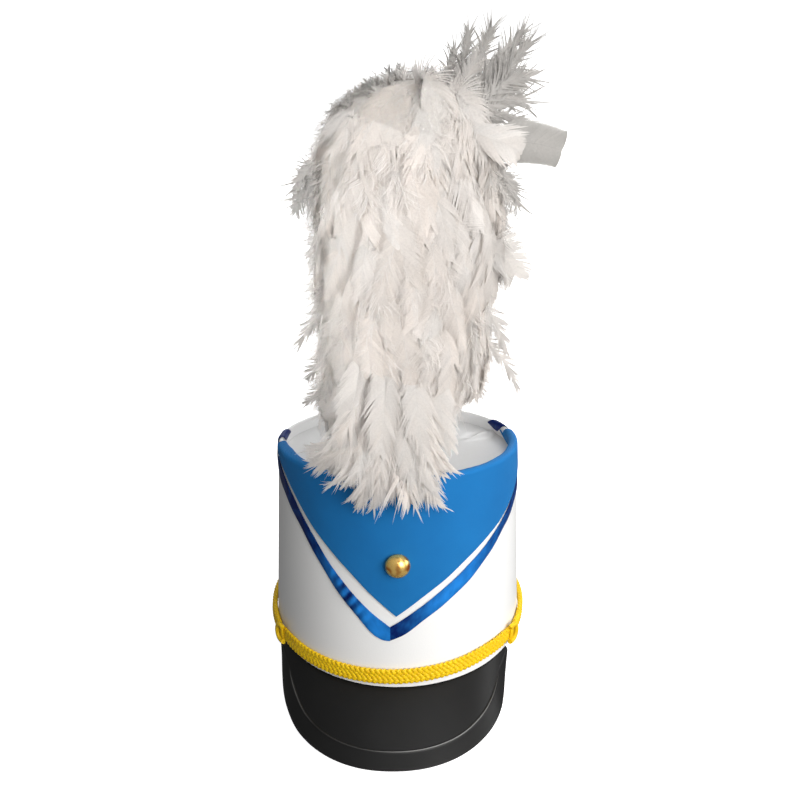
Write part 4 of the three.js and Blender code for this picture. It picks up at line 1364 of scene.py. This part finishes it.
def makeDown():
    def place(u, v):
        travel = bodyTravel[-1] * v
        turn = 2 * math.pi * u
        ripple = 0.002 * np.sin(7 * turn + 40 * v) + 0.0016 * np.sin(11 * turn - 67 * v)
        point = bodyPoint(travel, turn, ripple - plumeMake["downDepth"])
        closing = np.clip(np.minimum(v, 1 - v) / 0.03, 0, 1)
        middle = bodyPoint(travel, turn * 0, -1.0)
        middle[:, 2] = point[:, 2]
        return middle + (point - middle) * closing[:, None]

    body = shapeGrid("plumeDown", 56, 70, place)
    faceOutwards(body)
    paintFeathers(body, np.tile(featherColours["core"], (len(body.data.vertices), 1)))
    body.data.materials.append(plumeWhite)
    placeOnHat(body, "plume", smoothAngle=180)


def facesForward(turn):
    return math.sin(turn) < plumeMake["frontTurn"]


def overFront(turn, level):                # the fan hangs here instead
    return facesForward(turn) and level < plumeMake["fanTop"]


# pairs are from and to, for the random draws
coatMake = {
    "rowStep": 0.0125,
    "aroundStep": 0.0195,
    "length": (0.050, 0.066),
    "width": (0.034, 0.046),
    "swing": (-0.42, 0.42),   # how far round the body it leans
    "rootDepth": 0.005,
    "tipLift": (-0.003, 0.002),
    "lowest": 0.140,          # no tip hangs lower than this,
    "lowestFront": 0.156,     # or in front than this
    "tone": (0.80, 0.92),
    "warm": (0.2, 0.9),
    "clump": (0.0, 0.14),
    "paintedTipShade": -0.03,
}


def growCoat(bunch, start, end):
    random = bunch.random
    row = 0
    travel = start
    while travel < end:
        around = math.pi * (bodyAt(travel, 3) + bodyAt(travel, 4))
        count = max(7, round(around / coatMake["aroundStep"]))
        for i in range(count):
            turn = 2 * math.pi * (i + 0.5 * (row % 2) + random.uniform(-0.25, 0.25)) / count
            begin = max(0.001, travel + random.uniform(-0.005, 0.005))
            level = bodyAt(begin, 0)
            length = random.uniform(*coatMake["length"])
            if overFront(turn, level):
                continue
            length = min(length, level - coatMake["lowestFront" if facesForward(turn) else "lowest"])
            swing = random.uniform(*coatMake["swing"])
            rootLift = -coatMake["rootDepth"] * random.uniform(0.8, 1.1)
            tipLift = random.uniform(*coatMake["tipLift"])
            path = layPath(begin, turn, length, swing, rootLift, tipLift)
            width = min(random.uniform(*coatMake["width"]), 0.8 * length)
            bunch.grow(
                path, outFrom(begin + 0.5 * length, turn), width, vane,
                tone=random.uniform(*coatMake["tone"]), warm=random.uniform(*coatMake["warm"]),
                clump=random.uniform(*coatMake["clump"]), paintedTipShade=coatMake["paintedTipShade"])
        travel += coatMake["rowStep"]
        row += 1


downMake = {
    "length": (0.018, 0.028),
    "width": (0.016, 0.026),
    "swing": (-0.3, 0.3),
    "rootDepth": 0.006,
    "stand": (0.000, 0.006),
    "paleStand": (-0.001, 0.002),
    "aside": 0.8,             # how far it may face sideways
    # how far the painted shade on the down is lifted round the back
    "backPaler": 0.55,        # for the back is as white as the front
}


def growDown(bunch, count, start, end, tones, paintedTipShade, pale=False):
    # pale down lies over the front, and down painted greyer, as painted shade, stands out all round the
    # rest
    random = bunch.random
    for i in range(count):
        travel = random.uniform(start, end)
        turn = random.uniform(0, 2 * math.pi)
        if pale != (math.sin(turn) < -0.35):
            turn = -turn
        if overFront(turn, bodyAt(travel, 0) - 0.008):
            continue
        length = random.uniform(*downMake["length"])
        stand = random.uniform(*downMake["paleStand" if pale else "stand"])
        swing = random.uniform(*downMake["swing"])
        path = layPath(travel, turn, length, swing, -downMake["rootDepth"], stand, 8)
        out = outFrom(travel, turn)
        face = unit(out + downMake["aside"] * np.cross([0, 0, 1.0], out) * random.uniform(-1, 1))
        width = random.uniform(*downMake["width"])
        paler = downMake["backPaler"] * np.clip((math.sin(turn) - 0.1) / 0.4, 0, 1)
        tone = paler + (1 - paler) * random.uniform(*tones)
        bunch.grow(path, face, width, down, tone=tone, paintedTipShade=(1 - paler) * paintedTipShade)


capMake = {
    "count": 90,
    "reach": 0.050,           # how far down the outside
    "rootDepth": 0.007,
    "length": (0.008, 0.012),
    "width": (0.008, 0.013),
    # the cap's greyer tones, greyer behind than in front, are painted shade
    "frontTone": (0.6, 1.0),
    "backTone": (0.5, 0.8),
    "paintedTipShade": -0.15,
}


def growCap(bunch):                        # short down over the body's top
    random = bunch.random
    for i in range(capMake["count"]):
        travel = capMake["reach"] * random.random() ** 0.6
        turn = random.uniform(-0.7, math.pi + 0.7)
        inFront = turn < 0 or turn > math.pi
        root = bodyPoint(travel, turn, -capMake["rootDepth"])
        out = unit(outFrom(travel, turn) + random.uniform(-0.6, 0.6, 3) * [1, 1, 0.2])
        tip = root + out * random.uniform(*capMake["length"])
        bend = 0.5 * (root + tip) + random.uniform(-0.002, 0.002, 3)
        face = random.uniform(-1, 1, 3)
        width = random.uniform(*capMake["width"])
        tone = random.uniform(*capMake["frontTone" if inFront else "backTone"])
        bunch.grow(bentPath(root, bend, tip, 8), face, width, down, tone=tone, paintedTipShade=capMake["paintedTipShade"])


# broad soft feathers over the front: across and height at the root and at the tip, and width
broadFeathers = [
    (0.015, 0.386, 0.015, 0.345, 0.036), (0.007, 0.387, -0.014, 0.348, 0.036),
    (0.040, 0.380, 0.058, 0.344, 0.034), (-0.017, 0.384, -0.036, 0.354, 0.030),
    (0.026, 0.384, 0.037, 0.346, 0.032), (-0.005, 0.386, -0.028, 0.340, 0.030),
    (0.029, 0.362, 0.046, 0.312, 0.036), (-0.020, 0.360, -0.033, 0.310, 0.034),
    (0.006, 0.360, 0.015, 0.308, 0.038), (-0.010, 0.352, 0.000, 0.303, 0.034),
    (0.018, 0.350, 0.030, 0.296, 0.032), (-0.028, 0.350, -0.044, 0.304, 0.028),
    (0.033, 0.326, 0.043, 0.262, 0.034), (0.019, 0.326, 0.022, 0.269, 0.038),
    (0.002, 0.321, -0.009, 0.268, 0.036), (-0.014, 0.322, -0.022, 0.272, 0.032),
    (-0.027, 0.318, -0.042, 0.266, 0.032), (0.010, 0.306, 0.012, 0.250, 0.034),
    (-0.014, 0.298, -0.006, 0.243, 0.034), (0.044, 0.292, 0.052, 0.232, 0.032),
    (0.026, 0.296, 0.038, 0.236, 0.034), (-0.028, 0.290, -0.038, 0.238, 0.030),
    (0.009, 0.282, 0.027, 0.212, 0.038), (-0.001, 0.273, 0.010, 0.212, 0.036),
    (-0.019, 0.264, -0.030, 0.212, 0.032), (0.036, 0.262, 0.048, 0.208, 0.032),
    (-0.006, 0.252, -0.012, 0.200, 0.034), (0.020, 0.250, 0.030, 0.198, 0.034),
    (0.012, 0.389, 0.024, 0.352, 0.032), (0.032, 0.385, 0.050, 0.350, 0.030)]
# single feathers that stand away: root, a point on the way, tip and width
loneFeathers = [
    ((0.046, -0.066, 0.354), (0.071, -0.068, 0.356), (0.094, -0.066, 0.351), 0.032, "blunt"),
    ((0.036, -0.070, 0.296), (0.058, -0.074, 0.294), (0.070, -0.070, 0.278), 0.038, "curled"),
    ((0.034, -0.074, 0.366), (0.054, -0.083, 0.361), (0.070, -0.072, 0.350), 0.034, "broad"),
    ((0.050, -0.060, 0.346), (0.064, -0.062, 0.334), (0.071, -0.060, 0.317), 0.018, "frond"),
    ((0.040, -0.056, 0.240), (0.060, -0.058, 0.226), (0.075, -0.056, 0.200), 0.024, "hanging"),
    ((0.046, -0.058, 0.262), (0.060, -0.060, 0.246), (0.067, -0.058, 0.224), 0.022, "hanging"),
    ((0.030, -0.060, 0.232), (0.046, -0.062, 0.214), (0.052, -0.060, 0.196), 0.026, "hanging"),
    ((-0.028, -0.062, 0.266), (-0.046, -0.066, 0.254), (-0.061, -0.064, 0.232), 0.026, "hanging"),
    ((-0.036, -0.052, 0.224), (-0.048, -0.054, 0.214), (-0.057, -0.052, 0.203), 0.018, "hanging"),
    ((-0.034, -0.052, 0.206), (-0.046, -0.054, 0.198), (-0.057, -0.052, 0.187), 0.020, "hanging"),
    ((-0.038, -0.054, 0.343), (-0.052, -0.056, 0.337), (-0.060, -0.054, 0.322), 0.016, "paleFrond"),
    ((-0.040, -0.052, 0.332), (-0.054, -0.054, 0.325), (-0.060, -0.052, 0.312), 0.016, "paleFrond"),
    ((0.028, -0.050, 0.368), (0.036, -0.048, 0.394), (0.041, -0.048, 0.4135), 0.016, "frond"),
    ((0.024, -0.050, 0.370), (0.030, -0.048, 0.390), (0.033, -0.048, 0.405), 0.014, "frond"),
    ((0.032, -0.050, 0.366), (0.046, -0.048, 0.397), (0.053, -0.048, 0.416), 0.018, "frond"),
    ((0.034, -0.054, 0.362), (0.056, -0.052, 0.394), (0.071, -0.052, 0.416), 0.020, "frond"),
    ((0.036, -0.056, 0.360), (0.060, -0.054, 0.390), (0.075, -0.054, 0.408), 0.020, "frond"),
    ((0.036, -0.058, 0.360), (0.056, -0.056, 0.383), (0.074, -0.056, 0.391), 0.026, "frond"),
    ((0.036, -0.058, 0.356), (0.056, -0.058, 0.375), (0.073, -0.056, 0.377), 0.024, "frond"),
    ((0.036, -0.058, 0.354), (0.054, -0.058, 0.368), (0.070, -0.056, 0.366), 0.020, "frond"),
    ((0.024, -0.054, 0.364), (0.044, -0.053, 0.383), (0.060, -0.053, 0.397), 0.030, "frondBack"),
    ((0.026, -0.056, 0.358), (0.046, -0.055, 0.374), (0.066, -0.055, 0.385), 0.032, "frondBack"),
    ((0.026, -0.053, 0.368), (0.036, -0.052, 0.384), (0.044, -0.052, 0.400), 0.026, "frondBack"),
    ((0.012, -0.048, 0.382), (0.018, -0.068, 0.390), (0.027, -0.087, 0.362), 0.034, "broad"),
    ((0.030, -0.050, 0.376), (0.038, -0.068, 0.381), (0.050, -0.083, 0.356), 0.028, "broad"),
    ((-0.022, -0.076, 0.240), (-0.026, -0.100, 0.214), (-0.034, -0.106, 0.184), 0.032, "broad"),
    ((0.022, -0.074, 0.232), (0.026, -0.096, 0.206), (0.032, -0.102, 0.180), 0.026, "broad"),
    ((0.010, -0.078, 0.236), (0.012, -0.103, 0.208), (0.016, -0.110, 0.178), 0.032, "broad"),
    ((-0.006, -0.078, 0.238), (-0.007, -0.104, 0.212), (-0.010, -0.111, 0.182), 0.034, "broad"),
    ((0.003, -0.079, 0.224), (0.003, -0.105, 0.196), (0.005, -0.112, 0.162), 0.024, "broad"),
]
# the low tones of the frond, frondBack and blunt feathers paint them grey, as painted shade
loneKinds = {
    "broad": dict(
        angles=(50, 18), barbs=64, wide=0.0012, tipWide=0.15, taper=2.6, clump=0.09, late=2.2, group=5,
        spread=0.02, jitter=0.10, cup=-0.25, barb=0.60, tipKeep=0.6, paintedTipShade=-0.03),
    "frond": dict(
        angles=(46, 12), clump=0.95, late=0.55, group=4, spread=0.12, jitter=0.2, bendIn=-0.75, cup=0.0,
        tone=0.62, paintedTipShade=-0.36, barbs=120, wide=0.00036, tipWide=0.35, taper=2.0, barb=0.72,
        swell=0.12, tipKeep=0.8),
    "frondBack": dict(
        angles=(56, 18), clump=0.5, group=5, spread=0.08, jitter=0.18, bendIn=-0.2, cup=0.0, tone=0.8,
        paintedTipShade=-0.3, barbs=64, wide=0.0009, tipWide=0.2, taper=2.5, barb=0.42, swell=0.15, tipKeep=0.8),
    "blunt": dict(
        angles=(62, 40), clump=0.0, group=9, spread=0.01, square=True, tone=0.42, paintedTipShade=-0.2,
        barbs=60, cup=-0.10, barb=0.5, bendIn=0.1, jitter=0.01),
    "curled": dict(
        angles=(60, 30), clump=0.3, late=1.6, group=7, spread=0.08, tone=0.85, paintedTipShade=-0.12,
        barbs=100, wide=0.0008, tipKeep=0.7, jitter=0.12, cup=-0.25),
    "hanging": dict(
        angles=(40, 10), clump=0.6, late=0.9, group=6, spread=0.16, tone=0.9, paintedTipShade=-0.2,
        wide=0.00045, barbs=110, jitter=0.25, bendIn=0.1),
}
loneKinds["paleFrond"] = {**loneKinds["frond"], "tone": 0.86, "paintedTipShade": -0.24}
# tips of the fan, across from the left
fanTips = [
    (-0.057, -0.088, 0.166), (-0.050, -0.093, 0.157), (-0.040, -0.100, 0.150), (-0.030, -0.104, 0.139),
    (-0.020, -0.106, 0.129), (-0.008, -0.107, 0.148), (0.002, -0.107, 0.142), (0.010, -0.107, 0.133),
    (0.020, -0.106, 0.139), (0.028, -0.103, 0.134), (0.033, -0.094, 0.160)]


fanMake = {
    "count": 48,
    "rootHeight": (0.190, 0.232),
    "rootAcross": 0.45,       # how far out a root lies, as a share of its tip
    "rootDepth": 0.68,        # and how far forward from the body's middle, as a share of its half depth
    "bendAt": -0.106,
    "width": (0.022, 0.032),
    # a tone above 1 paints the fan lighter than the rest of the plume, as painted light
    "tone": (0.90, 1.06),
    "warm": (0, 0.7),
    "clump": (0.3, 0.8),
    "vane": dict(
        angles=(38, 8), group=6, late=1.7, spread=0.09, wide=0.0006, barbs=76, paintedTipShade=-0.2,
        tipKeep=0.85, barb=0.58, jitter=0.3, tipWide=0.08, taper=2.2),
    # one thin strand in the fan's middle: root, a point on the way and tip
    "strand": [(-0.004, -0.092, 0.182), (0.0005, -0.113, 0.160), (0.0055, -0.108, 0.141)],
    "strandWidth": 0.003,
}


def growBroad(bunch):
    random = bunch.random
    part = np.linspace(0, 1, 15)
    for i, (rootX, rootZ, tipX, tipZ, width) in enumerate(broadFeathers):
        across = rootX + (tipX - rootX) * part
        travel = travelAt(rootZ + (tipZ - rootZ) * part)
        beside = (across - bodyAt(travel, 1)) / np.maximum(bodyAt(travel, 3), 1e-6)
        turn = -np.arccos(np.clip(beside, -0.95, 0.95))
        rising = np.sin(0.5 * math.pi * np.minimum(1, 1.6 * part))
        path = bodyPoint(travel, turn, -0.004 + 0.0047 * rising + 0.0005 * (i % 3))
        bunch.grow(
            path, outFrom(travel[7], turn[7]), width, vane, tone=random.uniform(0.80, 0.90),
            warm=random.uniform(0.2, 0.9), **loneKinds["broad"])


def growLoneFeathers(bunch):
    random = bunch.random
    for root, bend, tip, width, kind in loneFeathers:
        moves = random.uniform(-0.001, 0.001, (3, 3))
        path = bentPath(root + moves[0], bend + moves[1], tip + moves[2])
        face = np.array([0.15, -1.0, 0.25]) + random.uniform(-0.15, 0.15, 3)
        bunch.grow(path, face, width, vane, **loneKinds[kind])
        if kind in ("frond", "paleFrond"):     # with a shorter, closer vane behind its fingers
            bunch.grow(path + [0, 0.0015, 0], face, 0.8 * width, vane, **loneKinds["frondBack"])


def growFan(bunch):
    random = bunch.random
    ends = np.array(fanTips)
    for i in range(fanMake["count"]):
        spot = (len(ends) - 1) * min(1, max(0, (i * 0.618) % 1 + random.uniform(-0.02, 0.02)))
        tip = np.array([np.interp(spot, np.arange(len(ends)), ends[:, axis]) for axis in range(3)])
        tip += [random.uniform(-0.003, 0.003), random.uniform(0.000, 0.005), random.uniform(0.003, 0.018)]
        across = -0.002 + fanMake["rootAcross"] * tip[0] + random.uniform(-0.008, 0.008)
        height = random.uniform(*fanMake["rootHeight"])
        travel = travelAt(height)
        beside = min(0.9, abs(across - bodyAt(travel, 1)) / bodyAt(travel, 3))
        depth = fanMake["rootDepth"] * bodyAt(travel, 4) * math.sqrt(1 - beside**2)
        root = np.array([across, bodyAt(travel, 2) - depth, height])
        forward = fanMake["bendAt"] + random.uniform(-0.004, 0.005)
        bend = np.array([0.45 * root[0] + 0.40 * tip[0], forward, 0.45 * root[2] + 0.55 * tip[2]])
        face = np.array([4 * tip[0] + random.uniform(-0.3, 0.3), -1.0, 0.2])
        bunch.grow(
            bentPath(root, bend, tip), face, random.uniform(*fanMake["width"]), vane,
            tone=random.uniform(*fanMake["tone"]), warm=random.uniform(*fanMake["warm"]),
            clump=random.uniform(*fanMake["clump"]), **fanMake["vane"])
    face = np.array([0, -1.0, 0.2])
    bunch.grow(bentPath(*fanMake["strand"]), face, fanMake["strandWidth"], vane, tone=1.0)


# start and end are measured down the outside from the top
coatBands = [("plumeTop", 0.002, 0.102), ("plumeMiddle", 0.102, 0.180), ("plumeLower", 0.180, 0.262)]
# over the front: how many, start and end, and tones
paleDown = [
    (50, 0.050, 0.250, (0.85, 0.95)),
    (46, 0.012, 0.075, (0.85, 0.95)),
    (58, 0.160, 0.200, (0.90, 1.0))]
# round the rest: name, how many, start and end, tones, and what the tips add to them; the greyer tones and
# darker tips are painted shade
fluffBands = [
    ("plumeFluffUpper", 360, 0.012, 0.115, (0.50, 0.88), -0.22),
    ("plumeFluffLower", 440, 0.115, 0.245, (0.72, 1.0), -0.12)]


def makePlume():
    makeDown()
    for i, (name, start, end) in enumerate(coatBands):
        bunch = FeatherBunch(plumeMake["seed"] + i)
        growCoat(bunch, start, end)
        if name == "plumeTop":
            growBroad(bunch)
        bunch.finish(name)
    bunch = FeatherBunch(plumeMake["seed"] + 7)
    growFan(bunch)
    for count, start, end, tones in paleDown:
        growDown(bunch, count, start, end, tones, 0, pale=True)
    growLoneFeathers(bunch)
    bunch.finish("plumeFan")
    for i, (name, count, start, end, tones, paintedTipShade) in enumerate(fluffBands):
        bunch = FeatherBunch(plumeMake["seed"] + 8 + i)
        growDown(bunch, count, start, end, tones, paintedTipShade)
        if name == "plumeFluffUpper":
            growCap(bunch)
        bunch.finish(name)


makePlume()
print("plume: down, coat, single feathers and fan")


stem = frame["nodes"]["plume_stem"]        # kept as modelled, inside the feathers
stemPlastic, tree, shader = newMaterial("white plastic", (0.80, 0.80, 0.79), 0.4)
addBump(tree, shader, addNoise(tree, objectPlace(tree), 300.0, 2.0), 0.1, 0.0002)
stem.data.materials.clear()
stem.data.materials.append(stemPlastic)
